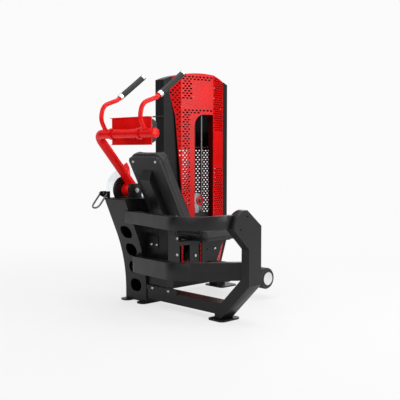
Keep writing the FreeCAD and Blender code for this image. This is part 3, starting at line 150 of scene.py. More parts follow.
tree.links.new(floor_mix.outputs[0], tree.nodes["Material Output"].inputs["Surface"])
floor_mesh.materials.append(floor_paint)

# Three dark flags stand out of the picture, so that the folded sheet's sides and the frame's rear faces
# mirror a darker room than the fronts do.
for name, place, turn, width in (("flag_ahead", (-0.1, 4.2, 1.3), 90, 2.6), ("flag_right", (4.2, 1.5, 1.3), 0, 1.5),
                                 ("flag_left", (-3.0, -3.2, 0.9), 45, 2.2)):
    flag_mesh = bpy.data.meshes.new(name)
    half = width / 2
    flag_mesh.from_pydata([(0, -half, -1.4), (0, half, -1.4), (0, half, 1.4), (0, -half, 1.4)], [], [(0, 1, 2, 3)])
    flag = bpy.data.objects.new(name, flag_mesh)
    flag.location = place
    flag.rotation_euler = (0, 0, math.radians(turn))
    flag.visible_camera = flag.visible_diffuse = flag.visible_shadow = flag.visible_transmission = False
    felt = bpy.data.materials.new(name)
    felt.use_nodes = True
    felt.node_tree.nodes["Principled BSDF"].inputs["Base Color"].default_value = (0.01, 0.01, 0.01, 1)
    felt.node_tree.nodes["Principled BSDF"].inputs["Specular IOR Level"].default_value = 0
    flag_mesh.materials.append(felt)
    scene.collection.objects.link(flag)


# The welded frame: columns, beams, guard bands, seat carriers and tower posts of steel tube and
# plate. They are blasted, powder coated satin black and bolted together.
def new_effect(name, inputs, outputs):
    """A shared shader group with named sockets."""
    group = bpy.data.node_groups.new(name, "ShaderNodeTree")
    for label, kind, value in inputs:
        group.interface.new_socket(label, in_out="INPUT", socket_type="NodeSocket" + kind).default_value = value
    for label, kind in outputs:
        group.interface.new_socket(label, in_out="OUTPUT", socket_type="NodeSocket" + kind)
    return group, group.nodes.new("NodeGroupInput"), group.nodes.new("NodeGroupOutput")


def noise_in(tree, coordinate, scale, detail):
    node = tree.nodes.new("ShaderNodeTexNoise")
    node.inputs["Detail"].default_value = detail
    tree.links.new(coordinate, node.inputs["Vector"])
    if isinstance(scale, (int, float)):
        node.inputs["Scale"].default_value = scale
    else:
        tree.links.new(scale, node.inputs["Scale"])
    return node.outputs["Fac"]


def mapped(tree, value, low, high, to_low, to_high):
    node = tree.nodes.new("ShaderNodeMapRange")
    tree.links.new(value, node.inputs["Value"])
    for label, number in (("From Min", low), ("From Max", high), ("To Min", to_low), ("To Max", to_high)):
        if isinstance(number, (int, float)):
            node.inputs[label].default_value = number
        else:
            tree.links.new(number, node.inputs[label])
    return node.outputs["Result"]


def summed(tree, operation, first, second):
    node = tree.nodes.new("ShaderNodeMath")
    node.operation = operation
    for socket, number in zip(node.inputs, (first, second)):
        if isinstance(number, (int, float)):
            socket.default_value = number
        else:
            tree.links.new(number, socket)
    return node.outputs[0]


def blended(tree, factor, first, second):
    node = tree.nodes.new("ShaderNodeMix")
    node.data_type = "RGBA"
    tree.links.new(factor, node.inputs["Factor"])
    tree.links.new(first, node.inputs[6])
    tree.links.new(second, node.inputs[7])
    return node.outputs[2]


coat_grain, given, made = new_effect(
    "coat_grain",
    [("Colour", "Color", (0.02, 0.02, 0.02, 1)), ("Scuff Colour", "Color", (0.06, 0.06, 0.06, 1)),
     ("Scuffs", "Float", 0.2), ("Grain Scale", "Float", 900.0), ("Roughness", "Float", 0.45),
     ("Unevenness", "Float", 0.1)],
    [("Color", "Color"), ("Roughness", "Float"), ("Height", "Float")])
spot = coat_grain.nodes.new("ShaderNodeTexCoord").outputs["Object"]
pebble = noise_in(coat_grain, spot, given.outputs["Grain Scale"], 3.0)
cloud = noise_in(coat_grain, spot, 7.0, 5.0)
scrape = noise_in(coat_grain, spot, 46.0, 8.0)
scuff_mask = summed(coat_grain, "MULTIPLY",
                    summed(coat_grain, "MULTIPLY", mapped(coat_grain, scrape, 0.58, 0.74, 0.0, 1.0),
                           mapped(coat_grain, cloud, 0.46, 0.66, 0.0, 1.0)), given.outputs["Scuffs"])
shade = coat_grain.nodes.new("ShaderNodeHueSaturation")
coat_grain.links.new(mapped(coat_grain, cloud, 0.3, 0.7, 0.86, 1.12), shade.inputs["Value"])
coat_grain.links.new(given.outputs["Colour"], shade.inputs["Color"])
coat_grain.links.new(blended(coat_grain, scuff_mask, shade.outputs[0], given.outputs["Scuff Colour"]),
                     made.inputs["Color"])
uneven = summed(coat_grain, "MULTIPLY", mapped(coat_grain, cloud, 0.3, 0.7, -1.0, 1.0), given.outputs["Unevenness"])
coat_grain.links.new(summed(coat_grain, "ADD", summed(coat_grain, "ADD", given.outputs["Roughness"], uneven),
                            summed(coat_grain, "MULTIPLY", scuff_mask, 0.25)), made.inputs["Roughness"])
coat_grain.links.new(pebble, made.inputs["Height"])


def finish(name, colour, scuff, scuffs, scale, rough, uneven, depth, effect=coat_grain, **sockets):
    """A coated, moulded or metal finish; sockets are constants on the shader itself."""
    material = bpy.data.materials.new(name)
    material.use_nodes = True
    tree = material.node_tree
    shader = tree.nodes["Principled BSDF"]
    coat = tree.nodes.new("ShaderNodeGroup")
    coat.node_tree = effect
    coat.inputs["Colour"].default_value = (*colour, 1)
    coat.inputs["Scuff Colour"].default_value = (*scuff, 1)
    for label, value in (("Scuffs", scuffs), ("Grain Scale", scale), ("Roughness", rough), ("Unevenness", uneven)):
        coat.inputs[label].default_value = value
    bump = tree.nodes.new("ShaderNodeBump")
    bump.inputs["Strength"].default_value = 0.6
    bump.inputs["Distance"].default_value = depth
    tree.links.new(coat.outputs["Color"], shader.inputs["Base Color"])
    tree.links.new(coat.outputs["Roughness"], shader.inputs["Roughness"])
    tree.links.new(coat.outputs["Height"], bump.inputs["Height"])
    tree.links.new(bump.outputs["Normal"], shader.inputs["Normal"])
    for label, value in sockets.items():
        shader.inputs[label.replace("_", " ")].default_value = value
    return material


def dress(material, *nodes):
    """Give CAD nodes their finish."""
    for node in nodes:
        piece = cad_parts[node]
        if not piece.material_slots:
            piece.data.materials.append(material)
        for slot in piece.material_slots:
            slot.material = material


powder_black = finish("powder_black", (0.008, 0.008, 0.0083), (0.03, 0.03, 0.031), 0.4, 1400, 0.36, 0.05, 0.00008,
                      Specular_IOR_Level=0.32)
dress(powder_black, "foot_plates", "right_column", "near_cross_beam", "left_column", "side_base_beam", "top_deck",
      "upper_band", "lower_band", "centre_post", "column_web", "seat_rail", "seat_side_plates", "idler_bracket",
      "backrest_beam", "roller_arm", "rod_crossbar", "pulley_brackets", "pivot_bearings", "rom_lugs", "side_hook")
# Cut edges of the frame's plates and tubes are eased a little under their coat.
SEAL_REACH, SOFT_EDGE, SOFT_STEPS, SOFT_ANGLE = 0.00005, 0.0014, 2, 50
for node in ("foot_plates", "right_column", "near_cross_beam", "side_base_beam", "top_deck", "upper_band",
             "lower_band", "seat_rail", "seat_side_plates", "backrest_beam"):
    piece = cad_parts[node]
    sealed = piece.modifiers.new("sealed", "WELD")
    sealed.merge_threshold = SEAL_REACH
    softened = piece.modifiers.new("softened", "BEVEL")
    softened.width, softened.segments, softened.limit_method = SOFT_EDGE, SOFT_STEPS, "ANGLE"
    softened.angle_limit = math.radians(SOFT_ANGLE)
    softened.harden_normals = True
cover_black = finish("cover_black", (0.007, 0.007, 0.0073), (0.028, 0.028, 0.03), 0.3, 1800, 0.34, 0.04, 0.00006,
                     Specular_IOR_Level=0.25)
dress(cover_black, "tower_left_upright", "tower_right_upright", "tower_cap", "rear_panel", "front_cover")


def new_piece(name, mesh, material, body, smooth=False):
    """Put a finished mesh on the machine."""
    piece = bpy.data.objects.new(name, mesh)
    scene.collection.objects.link(piece)
    mesh.materials.clear()
    mesh.materials.append(material)
    mesh.polygons.foreach_set("use_smooth", [smooth] * len(mesh.polygons))
    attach(piece, body)
    return piece


# Bolts: button heads with a round washer and a socket, in bright zinc. They hold the brackets, the
# seat's side plates and the backrest's board.
bright_zinc = finish("bright_zinc", (0.62, 0.62, 0.63), (0.35, 0.34, 0.33), 0.4, 500, 0.22, 0.06, 0.0001,
                     Metallic=1.0)
dull_zinc = finish("dull_zinc", (0.34, 0.3, 0.3), (0.2, 0.2, 0.2), 0.4, 500, 0.4, 0.06, 0.00005, Metallic=1.0)


def turned(profile, place, axis, segments=32):
    """Mesh data of a lathe profile of (along, radius) points round an axis, capped unless it is a loop."""
    axis = Vector(axis).normalized()
    side = axis.orthogonal().normalized()
    up = axis.cross(side)
    points, faces = [], []
    for along, radius in profile:
        for k in range(segments):
            turn = math.tau * k / segments
            points.append(Vector(place) + axis * along + (side * math.cos(turn) + up * math.sin(turn)) * radius)
    for i in range(len(profile) - 1):
        for k in range(segments):
            a, b = i * segments + k, i * segments + (k + 1) % segments
            faces.append((a, b, b + segments, a + segments))
    if profile[0] != profile[-1]:
        last = (len(profile) - 1) * segments
        faces += [tuple(range(segments)), tuple(range(last, last + segments))]
    return points, faces


SAME_POINT = 0.00002


def gathered(name, lots):
    """One mesh from several lots of points and faces."""
    points, faces = [], []
    for some_points, some_faces in lots:
        start = len(points)
        points += [tuple(p) for p in some_points]
        faces += [tuple(start + i for i in face) for face in some_faces]
    mesh = bpy.data.meshes.new(name)
    mesh.from_pydata(points, [], faces)
    build = bmesh.new()
    build.from_mesh(mesh)
    bmesh.ops.remove_doubles(build, verts=build.verts, dist=SAME_POINT)
    bmesh.ops.recalc_face_normals(build, faces=build.faces)
    build.to_mesh(mesh)
    build.free()
    return mesh


HEAD = [(0.0, 0.0105), (0.0012, 0.0105), (0.0013, 0.0088), (0.0028, 0.0086), (0.0048, 0.007), (0.0058, 0.0048),
        (0.0056, 0.0043), (0.0034, 0.0041), (0.0032, 0.0001)]
bolt_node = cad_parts["frame_bolts"]
loose = bmesh.new()
loose.from_mesh(bolt_node.data)
bmesh.ops.remove_doubles(loose, verts=loose.verts, dist=SAME_POINT)
heads, seen = [], set()
for first in loose.verts:
    if first in seen:
        continue
    seen.add(first)
    island, edge = [first], [first]
    while edge:
        corner = edge.pop()
        for line in corner.link_edges:
            other = line.other_vert(corner)
            if other not in seen:
                seen.add(other)
                island.append(other)
                edge.append(other)
    centre = sum((v.co for v in island), Vector()) / len(island)
    heads.append((centre, [v.co.copy() for v in island]))
loose.free()
LEAN = math.radians(27)
FLAT_HEAD, HEAD_SINK = 0.008, 0.003
back_out = Vector((0, math.cos(LEAN), math.sin(LEAN)))
lots = []
for centre, corners in heads:
    spans = [max(c[i] for c in corners) - min(c[i] for c in corners) for i in range(3)]
    if spans[0] < FLAT_HEAD:
        axis = Vector((1, 0, 0))
    elif spans[1] < FLAT_HEAD:
        axis = Vector((0, -1, 0))
    else:
        axis = -back_out
    lots.append(turned(HEAD, centre - axis * HEAD_SINK, axis, 24))
bolts = new_piece("button_head_bolts", gathered("button_head_bolts", lots), bright_zinc, "frame", True)
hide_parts("frame_bolts")

# Tower front: one steel sheet folded along an upright ridge, punched with staggered slots and
# enamelled red. It has a rounded window for the weight stack and a plain field above it.
tower_low, tower_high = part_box("tower_cap")
cover_x = tower_high[0]
tower_y = tower_low[1]
STRIP_LINE, RIDGE, FLANGE, SHEET_END = 0.146, 0.431, 0.594, 0.618
ARCH_Y, ARCH_Z, ARCH_RADIUS = 0.322, 0.68097, 0.89403
SHEET_BACK, SHEET_WALL, SHEET_LOW = 0.002, 0.0026, 0.190
FOLD = [(0.047, 0.004), (STRIP_LINE, 0.030), (RIDGE, 0.064), (FLANGE, 0.004), (0.7, 0.004)]
window_y, window_low, window_high, window_round = 0.262, 0.420, 1.281, 0.085


def arch(y):
    """Height of the tower's arched top at a distance from its left side."""
    return ARCH_Z + math.sqrt(ARCH_RADIUS ** 2 - (y - ARCH_Y) ** 2)


def fold_depth(y):
    """How far the folded sheet stands off the cover at a distance from the tower's left side."""
    for (y0, x0), (y1, x1) in zip(FOLD, FOLD[1:]):
        if y <= y1:
            return x0 + (x1 - x0) * (y - y0) / (y1 - y0)
    return FOLD[-1][1]


def arch_run(start, end, count):
    """Points along the arched top from one place across the tower to another."""
    return [(start + (end - start) * k / count, arch(start + (end - start) * k / count)) for k in range(count + 1)]


def punched_sheet(name, outline, holes, radius, stretch, thickness, lay, sides=12):
    """Mesh of a flat sheet with slots, round when stretch is zero, laid on the machine by lay(y, z, out)."""
    curve = bpy.data.curves.new(name, "CURVE")
    curve.dimensions, curve.fill_mode, curve.extrude = "2D", "BOTH", thickness / 2
    rings = [outline]
    for y, z in holes:
        turns = [math.tau * (k + 0.5) / sides for k in range(sides)]
        rings.append([(y + math.copysign(stretch, math.cos(a)) + radius * math.cos(a), z + radius * math.sin(a))
                      for a in turns])
    for ring in rings:
        spline = curve.splines.new("POLY")
        spline.points.add(len(ring) - 1)
        for point, (y, z) in zip(spline.points, ring):
            point.co = (y, z, 0, 1)
        spline.use_cyclic_u = True
    holder = bpy.data.objects.new(name, curve)
    mesh = bpy.data.meshes.new_from_object(holder)
    bpy.data.objects.remove(holder)
    points = [lay(v.co.x, v.co.y, v.co.z) for v in mesh.vertices]
    faces = [tuple(p.vertices) for p in mesh.polygons]
    bpy.data.meshes.remove(mesh)
    return points, faces


def inside(outline, y, z):
    """Whether a place lies inside an outline."""
    hit = False
    for (y0, z0), (y1, z1) in zip(outline, outline[1:] + outline[:1]):
        if (z0 > z) != (z1 > z) and y < y0 + (y1 - y0) * (z - z0) / (z1 - z0):
            hit = not hit
    return hit


def punch_places(outline, step_y, step_z, reach, margin, keep_plain):
    """Staggered slot centres that stay a margin inside the outline and off the plain fields."""
    low_y, high_y = min(p[0] for p in outline), max(p[0] for p in outline)
    low_z, high_z = min(p[1] for p in outline), max(p[1] for p in outline)
    places = []
    for column in range(int(math.floor(low_y / step_y)), int(high_y / step_y) + 2):
        for row in range(int(math.floor(low_z / step_z)), int(high_z / step_z) + 2):
            y, z = column * step_y, (row + 0.5 * (column % 2)) * step_z
            around = [(y + reach * math.cos(math.tau * k / 8), z + margin * math.sin(math.tau * k / 8))
                      for k in range(8)]
            if all(inside(outline, *spot) for spot in around) and not any(
                    y0 < y < y1 and z0 < z < z1 for y0, z0, y1, z1 in keep_plain):
                places.append((y, z))
    return places


corner = [(window_y + window_round * (1 - math.cos(math.radians(a))),
           window_high - window_round * (1 - math.sin(math.radians(a)))) for a in range(0, 91, 10)]
TOP_LEFT, RAKE_Z = 0.076, 0.297
strip_outline = [(STRIP_LINE, 0.745), (0.098, 1.267), (0.053, 1.428)] + arch_run(TOP_LEFT, STRIP_LINE, 4)
left_outline = ([(STRIP_LINE, SHEET_LOW), (STRIP_LINE, 0.410), (0.228, 0.493), (0.228, 0.543), (0.149, 0.712),
                 (STRIP_LINE, 0.745)] + arch_run(STRIP_LINE, RIDGE, 14)
                + [(RIDGE, window_high)] + corner[::-1]
                + [(window_y, window_low), (RIDGE, window_low), (RIDGE, SHEET_LOW)])
right_outline = [(RIDGE, SHEET_LOW)] + arch_run(RIDGE, FLANGE, 8) + [(FLANGE, RAKE_Z), (0.540, SHEET_LOW)]
flange_outline = [(FLANGE, RAKE_Z)] + arch_run(FLANGE, SHEET_END, 2) + [(SHEET_END, 0.345)]
PLAIN_LEFT = [(0.223, 0.380, 0.45, 1.285), (0.235, 1.353, 0.45, 1.52), (0.143, 1.321, 0.45, 1.389)]
PLAIN_RIGHT = [(0.40, 0.897, 0.7, 1.158), (0.40, 0.15, 0.458, 1.6), (0.585, 0.15, 0.7, 1.6)]


def on_sheet(y, z, out):
    """The place on the folded sheet's face, or a distance out of it."""
    return Vector((cover_x + fold_depth(y) - SHEET_BACK + out, tower_y + y, z))


enamel_sheet = finish("enamel_sheet", (0.74, 0.003, 0.003), (0.5, 0.01, 0.01), 0.04, 500, 0.26, 0.03, 0.000002,
                      Specular_IOR_Level=0.22)
# The side strip takes a darker copy of the red enamel: painted shade for its facet turned away from the light.
enamel_strip_painted_shade = finish("enamel_strip_painted_shade", (0.6, 0.0015, 0.0015), (0.4, 0.01, 0.01), 0.12, 500, 0.4, 0.03, 0.00001,
                       Specular_IOR_Level=0.05)
# A near-black copy of the red enamel: painted shade for the window's lip and the rear sheet inside the tower.
enamel_red_in_painted_shade = finish("enamel_red_in_painted_shade", (0.07, 0.003, 0.003), (0.1, 0.01, 0.01), 0.12, 500, 0.4, 0.03, 0.00001,
                       Specular_IOR_Level=0.1)
panels = []
PUNCH_Y, PUNCH_Z, SLOT_RADIUS, SLOT_STRETCH, STRIP_STRETCH = 0.0165, 0.034, 0.0055, 0.0052, 0.003
SHEET_REACH, SHEET_MARGIN, STRIP_REACH, STRIP_MARGIN = 0.012, 0.014, 0.008, 0.009
for outline, plain in ((left_outline, PLAIN_LEFT), (right_outline, PLAIN_RIGHT)):
    holes = punch_places(outline, PUNCH_Y, PUNCH_Z, SHEET_REACH, SHEET_MARGIN, plain)
    panels.append(punched_sheet("shroud_panel", outline, holes, SLOT_RADIUS, SLOT_STRETCH, SHEET_WALL, on_sheet))
shroud = new_piece("punched_front_sheet", gathered("punched_front_sheet", panels), enamel_sheet, "frame")
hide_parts("front_shroud")
holes = punch_places(strip_outline, PUNCH_Y, PUNCH_Z, STRIP_REACH, STRIP_MARGIN, [])
new_piece("punched_side_strip",
          gathered("punched_side_strip",
                   [punched_sheet("strip_panel", strip_outline, holes, SLOT_RADIUS, STRIP_STRETCH, SHEET_WALL,
                                  on_sheet)]),
          enamel_strip_painted_shade, "frame")

# Returns close the sheet to the cover behind it: a black one along its left edge, a red one over the
# arched top, and the flat flange past its right fold.
LEFT_CHAIN = [(0.1455, SHEET_LOW), (0.1455, 0.410), (0.228, 0.493), (0.228, 0.543), (0.149, 0.712), (0.098, 1.267),
              (0.053, 1.428), (TOP_LEFT, arch(TOP_LEFT) - 0.001)]
RETURN_WALL = 0.0012
TOP_CHAIN = [(y, z - 0.0008) for y, z in arch_run(TOP_LEFT + 0.001, SHEET_END, 18)]


def ribbon_faces(count, closed):
    """Faces round a wall that has four corners at each of its stations."""
    faces = []
    for i in range(count if closed else count - 1):
        a, b = 4 * i, 4 * ((i + 1) % count)
        faces += [(a, a + 1, b + 1, b), (a + 2, b + 2, b + 3, a + 3), (a, b, b + 2, a + 2),
                  (a + 1, a + 3, b + 3, b + 1)]
    return faces


def wall_back(chain, grow_y, grow_z):
    """A thin wall from the sheet's edge back to the cover's plane."""
    points = []
    for y, z in chain:
        for grow in (0, 1):
            points.append(on_sheet(y + grow * grow_y, z + grow * grow_z, -0.0014))
            points.append(Vector((cover_x + 0.0002, tower_y + y + grow * grow_y, z + grow * grow_z)))
    ends = [(0, 2, 3, 1), tuple(4 * (len(chain) - 1) + k for k in (0, 1, 3, 2))]
    return points, ribbon_faces(len(chain), False) + ends


flange = punched_sheet("flange_panel", flange_outline, [], 0, 0, SHEET_WALL, on_sheet)
new_piece("sheet_returns", gathered("sheet_returns", [wall_back(LEFT_CHAIN, RETURN_WALL, 0), flange]), cover_black,
          "frame")
new_piece("sheet_top_return", gathered("sheet_top_return", [wall_back(TOP_CHAIN, 0, -RETURN_WALL)]), enamel_sheet,
          "frame")

# The window's edge is turned inward all round as a lip, deepest behind the ridge,
# its red coat darkened as painted shade.
LIP_DEPTH, RIDGE_DEPTH, LIP_WALL = 0.016, 0.048, 0.0015
window_edge = [(RIDGE, window_low), (RIDGE, window_high)] + corner[::-1] + [(window_y, window_low)]
lip_points = []
for y, z in window_edge:
    for wall in (0.0, LIP_WALL):
        grown_y = y + (wall if y > 0.9 * RIDGE else -wall)
        for out in (-0.0006, -RIDGE_DEPTH if y > 0.9 * RIDGE else -LIP_DEPTH):
            lip_points.append(on_sheet(min(grown_y, RIDGE + LIP_WALL), z + (wall if z > 0.8 else -wall), out))
new_piece("window_lip", gathered("window_lip", [(lip_points, ribbon_faces(len(window_edge), True))]), enamel_red_in_painted_shade,
          "frame")

# Small dull bolts hold the sheet to the tower. Their heads are lower and narrower than the frame's.
SHEET_BOLTS = [(0.253, 1.480), (0.252, 1.403), (0.353, 1.326), (0.148, 1.327), (0.444, 1.475), (0.444, 1.401),
               (0.550, 1.328)]
SLOPE_REACH, LOWER, NARROWER = 0.004, 0.6, 0.5
lots = []
for y, z in SHEET_BOLTS:
    slope = (fold_depth(y + SLOPE_REACH) - fold_depth(y - SLOPE_REACH)) / (2 * SLOPE_REACH)
    out = Vector((1, -slope, 0)).normalized()
    lots.append(turned([(a * LOWER, r * NARROWER) for a, r in HEAD], on_sheet(y, z, 0.0014), out, 20))
new_piece("front_sheet_bolts", gathered("front_sheet_bolts", lots), dull_zinc, "frame", True)

# Tower rear: the lower half is a red sheet, its red darkened to near black as painted shade, punched right
# through, so that daylight shows between the guide rods. Its upper half stays plain and black.
grille_low, grille_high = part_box("rear_grille")
GRILLE_LOW, GRILLE_TOP, GRILLE_WIDTH = 0.118, 1.0447, 0.644
GRILLE_RADIUS, GRILLE_STRETCH, GRILLE_WALL, GRILLE_REACH, GRILLE_MARGIN = 0.0042, 0.0047, 0.0028, 0.016, 0.014
RAKE = [(0.0, GRILLE_LOW), (0.565, GRILLE_LOW), (GRILLE_WIDTH, 0.345), (GRILLE_WIDTH, GRILLE_TOP), (0.0, GRILLE_TOP)]


def on_back_sheet(y, z, out):
    """The place on the rear sheet's middle, or a distance out of it."""
    return Vector(((grille_low[0] + grille_high[0]) / 2 + out, tower_y + y, z))


holes = punch_places(RAKE, PUNCH_Y, PUNCH_Z, GRILLE_REACH, GRILLE_MARGIN, [])
grille = new_piece("punched_rear_sheet",
                   gathered("punched_rear_sheet",
                            [punched_sheet("grille_panel", RAKE, holes, GRILLE_RADIUS, GRILLE_STRETCH, GRILLE_WALL,
                                           on_back_sheet)]),
                   enamel_red_in_painted_shade, "frame")
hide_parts("rear_grille")

# Weight stack: cast plates painted black on two ground steel rods, with a bright yoke, a red roller and
# a selector pin with a red knob. The range loop is of the rods' steel.
cast_black = finish("cast_black", (0.018, 0.018, 0.019), (0.09, 0.085, 0.08), 0.5, 260, 0.55, 0.08, 0.0006,
                    Specular_IOR_Level=0.4)
dress(cast_black, "weight_plates", "lifted_plates")
rod_chrome = finish("rod_chrome", (0.78, 0.78, 0.79), (0.5, 0.5, 0.5), 0.1, 700, 0.1, 0.03, 0.00004, Metallic=1.0)
ground_steel = finish("ground_steel", (0.22, 0.22, 0.23), (0.2, 0.2, 0.2), 0.2, 700, 0.24, 0.05, 0.00004,
                      Metallic=1.0)
dress(ground_steel, "guide_rods", "rom_loop")

lathe_rings, given, made = new_effect(
    "lathe_rings",
    [("Colour", "Color", (0.5, 0.5, 0.5, 1)), ("Scuff Colour", "Color", (0.3, 0.3, 0.3, 1)), ("Scuffs", "Float", 0.2),
     ("Grain Scale", "Float", 900.0), ("Roughness", "Float", 0.3), ("Unevenness", "Float", 0.1)],
    [("Color", "Color"), ("Roughness", "Float"), ("Height", "Float")])
spot = lathe_rings.nodes.new("ShaderNodeTexCoord").outputs["Object"]
squeeze = lathe_rings.nodes.new("ShaderNodeMapping")
squeeze.inputs["Scale"].default_value = (1.0, 0.04, 0.04)
lathe_rings.links.new(spot, squeeze.inputs["Vector"])
rings = noise_in(lathe_rings, squeeze.outputs[0], given.outputs["Grain Scale"], 2.0)
smear = noise_in(lathe_rings, spot, 30.0, 4.0)
smear_mask = summed(lathe_rings, "MULTIPLY", mapped(lathe_rings, smear, 0.5, 0.75, 0.0, 1.0), given.outputs["Scuffs"])
lathe_rings.links.new(blended(lathe_rings, smear_mask, given.outputs["Colour"], given.outputs["Scuff Colour"]),
                      made.inputs["Color"])
lathe_rings.links.new(summed(lathe_rings, "ADD", given.outputs["Roughness"],
                             summed(lathe_rings, "MULTIPLY", mapped(lathe_rings, rings, 0.3, 0.7, -1.0, 1.0),
                                    given.outputs["Unevenness"])), made.inputs["Roughness"])
lathe_rings.links.new(rings, made.inputs["Height"])

turned_steel = finish("turned_steel", (0.56, 0.56, 0.57), (0.3, 0.29, 0.28), 0.3, 800, 0.28, 0.08, 0.00008,
                      effect=lathe_rings, Metallic=1.0)
dress(turned_steel, "stack_yoke", "pivot_shaft", "roller_axle", "pulley_axles")
red_nylon = finish("red_nylon", (0.62, 0.006, 0.006), (0.4, 0.02, 0.02), 0.2, 600, 0.3, 0.05, 0.00008,
                   Specular_IOR_Level=0.5)
dress(red_nylon, "yoke_roller", "selector_pin")

# The yoke's outer face is a wider figure-of-eight plate with a red roller rim about its bore.
yoke_low, yoke_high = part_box("stack_yoke")
face_x, face_y, LOBE_LOW, LOBE_HIGH = yoke_high[0] + 0.0028, (yoke_low[1] + yoke_high[1]) / 2 + 0.013, 0.616, 0.659
face_outline = []
LOW_RADIUS, HIGH_RADIUS, BORE_RADIUS, FACE_WALL = 0.042, 0.045, 0.0185, 0.005
for centre_z, radius, first in ((LOBE_LOW, LOW_RADIUS, 150), (LOBE_HIGH, HIGH_RADIUS, -28)):
    for k in range(25):
        turn = math.radians(first + (240 if first > 0 else 236) * k / 24)
        face_outline.append((face_y + radius * math.cos(turn), centre_z + radius * math.sin(turn)))
bore_y, bore_z = face_y + 0.004, 0.645


def on_yoke(y, z, out):
    """The place on the yoke's face, or a distance out of it."""
    return Vector((face_x + out, y, z))


face_plate = punched_sheet("yoke_face", face_outline, [(bore_y, bore_z)], BORE_RADIUS, 0, FACE_WALL, on_yoke, 32)
new_piece("yoke_face", gathered("yoke_face", [face_plate]), turned_steel, "stack")
RING = [(0.0026, 0.0192), (0.0026, 0.033), (0.0034, 0.0345), (0.0075, 0.0345), (0.0088, 0.033), (0.0088, 0.0205),
        (0.008, 0.0192), (0.0026, 0.0192)]
new_piece("yoke_roller_ring",
          gathered("yoke_roller_ring", [turned(RING, (face_x, bore_y + 0.006, bore_z + 0.004), (1, 0, 0), 40)]),
          red_nylon, "stack", True)
bush = turned([(-0.001, 0.0001), (-0.001, 0.0183), (0.0022, 0.0183), (0.0022, 0.0001)], (face_x, bore_y, bore_z),
              (1, 0, 0), 32)
new_piece("yoke_bush", gathered("yoke_bush", [bush]), cast_black, "stack")

# Pulleys and cable: black nylon wheels on steel axles, and a steel rope in a black sleeve whose
# strands show through as a faint twist.
black_nylon = finish("black_nylon", (0.02, 0.02, 0.021), (0.06, 0.06, 0.06), 0.3, 420, 0.4, 0.06, 0.00015,
                     effect=lathe_rings, Specular_IOR_Level=0.45)
dress(black_nylon, "idler_wheel", "base_pulley_front", "base_pulley_rear", "top_pulley_left", "top_pulley_middle")
sleeve = finish("cable_sleeve", (0.015, 0.015, 0.016), (0.05, 0.05, 0.05), 0.4, 1100, 0.36, 0.05, 0.0003,
                Specular_IOR_Level=0.5)
dress(sleeve, "drive_cable")
run_low, run_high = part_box("stack_cable")
run_x, run_y = (run_low[0] + run_high[0]) / 2, (run_low[1] + run_high[1]) / 2
rope = []
STEPS, SIDES = 180, 18
ROPE_RADIUS, STRAND_DEPTH, STRANDS, TWIST = 0.0028, 0.00022, 6, 60
for k in range(STEPS + 1):
    z = run_low[2] + (run_high[2] - run_low[2]) * k / STEPS
    for j in range(SIDES):
        turn = math.tau * j / SIDES
        radius = ROPE_RADIUS + STRAND_DEPTH * math.cos(STRANDS * (turn - z * TWIST))
        rope.append((run_x + radius * math.cos(turn), run_y + radius * math.sin(turn), z))
rope_faces = [(k * SIDES + j, k * SIDES + (j + 1) % SIDES, (k + 1) * SIDES + (j + 1) % SIDES, (k + 1) * SIDES + j)
              for k in range(STEPS) for j in range(SIDES)]
rope_faces += [tuple(range(SIDES)), tuple(range(STEPS * SIDES, (STEPS + 1) * SIDES))]
stack_rope = new_piece("stack_rope", gathered("stack_rope", [(rope, rope_faces)]), sleeve, "frame", True)
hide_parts("stack_cable")
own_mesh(stack_rope)

# Crunch arm: one bent steel tube with its hub, gusset, pad bracket and the two bent handles, all in
# gloss red enamel. A low domed cap closes the tube's free end.
enamel_red = finish("enamel_red", (0.84, 0.004, 0.004), (0.6, 0.01, 0.01), 0.04, 320, 0.2, 0.03, 0.000003,
                    Specular_IOR_Level=0.22)
dress(enamel_red, "crunch_arm", "handle_bars", "pad_bracket")
arm_low, arm_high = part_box("crunch_arm")
tube_y, tube_z, tube_r = arm_low[1] + 0.030, 1.124, 0.030
cap_profile = [(-0.001, 0.0296), (0.0012, 0.0296), (0.003, 0.0286), (0.0048, 0.024), (0.006, 0.014), (0.0064, 0.0001)]
lots = [turned(cap_profile, (arm_high[0], tube_y, tube_z), (1, 0, 0), 40)]
new_piece("arm_end_cap", gathered("arm_end_cap", lots), enamel_red, "arm", True)

handle_low, handle_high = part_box("handle_bars")
BAR_RADIUS, BEAD_STEPS, BEAD_SIDES, BEAD_RADIUS = 0.014, 48, 8, 0.0028
HANDLE_X = (handle_low[0] + BAR_RADIUS, handle_high[0] - BAR_RADIUS)
leg = Vector((0, -0.050, 0.091)).normalized()
lay = Vector((1, 0, 0)).cross(leg)
lots = []
for x in HANDLE_X:
    bead, bead_faces = [], []
    for k in range(BEAD_STEPS):
        turn = math.tau * k / BEAD_STEPS
        reach = BAR_RADIUS * math.sin(turn)
        middle = Vector((x, tube_y, tube_z)) + leg * math.sqrt(tube_r ** 2 - reach ** 2)
        middle += Vector((1, 0, 0)) * (BAR_RADIUS * math.cos(turn)) + lay * reach
        outward = (Vector((1, 0, 0)) * math.cos(turn) + lay * math.sin(turn)).normalized()
        swell = BEAD_RADIUS * (1 + 0.18 * math.cos(turn * 16))
        for j in range(BEAD_SIDES):
            a = math.tau * j / BEAD_SIDES
            bead.append(middle + (outward * math.cos(a) + leg * math.sin(a)) * swell)
    for k in range(BEAD_STEPS):
        here, ahead = k * BEAD_SIDES, (k + 1) % BEAD_STEPS * BEAD_SIDES
        for j in range(BEAD_SIDES):
            beside = (j + 1) % BEAD_SIDES
            bead_faces.append((here + j, here + beside, ahead + beside, ahead + j))
    lots.append((bead, bead_faces))
new_piece("handle_welds", gathered("handle_welds", lots), enamel_red, "arm", True)

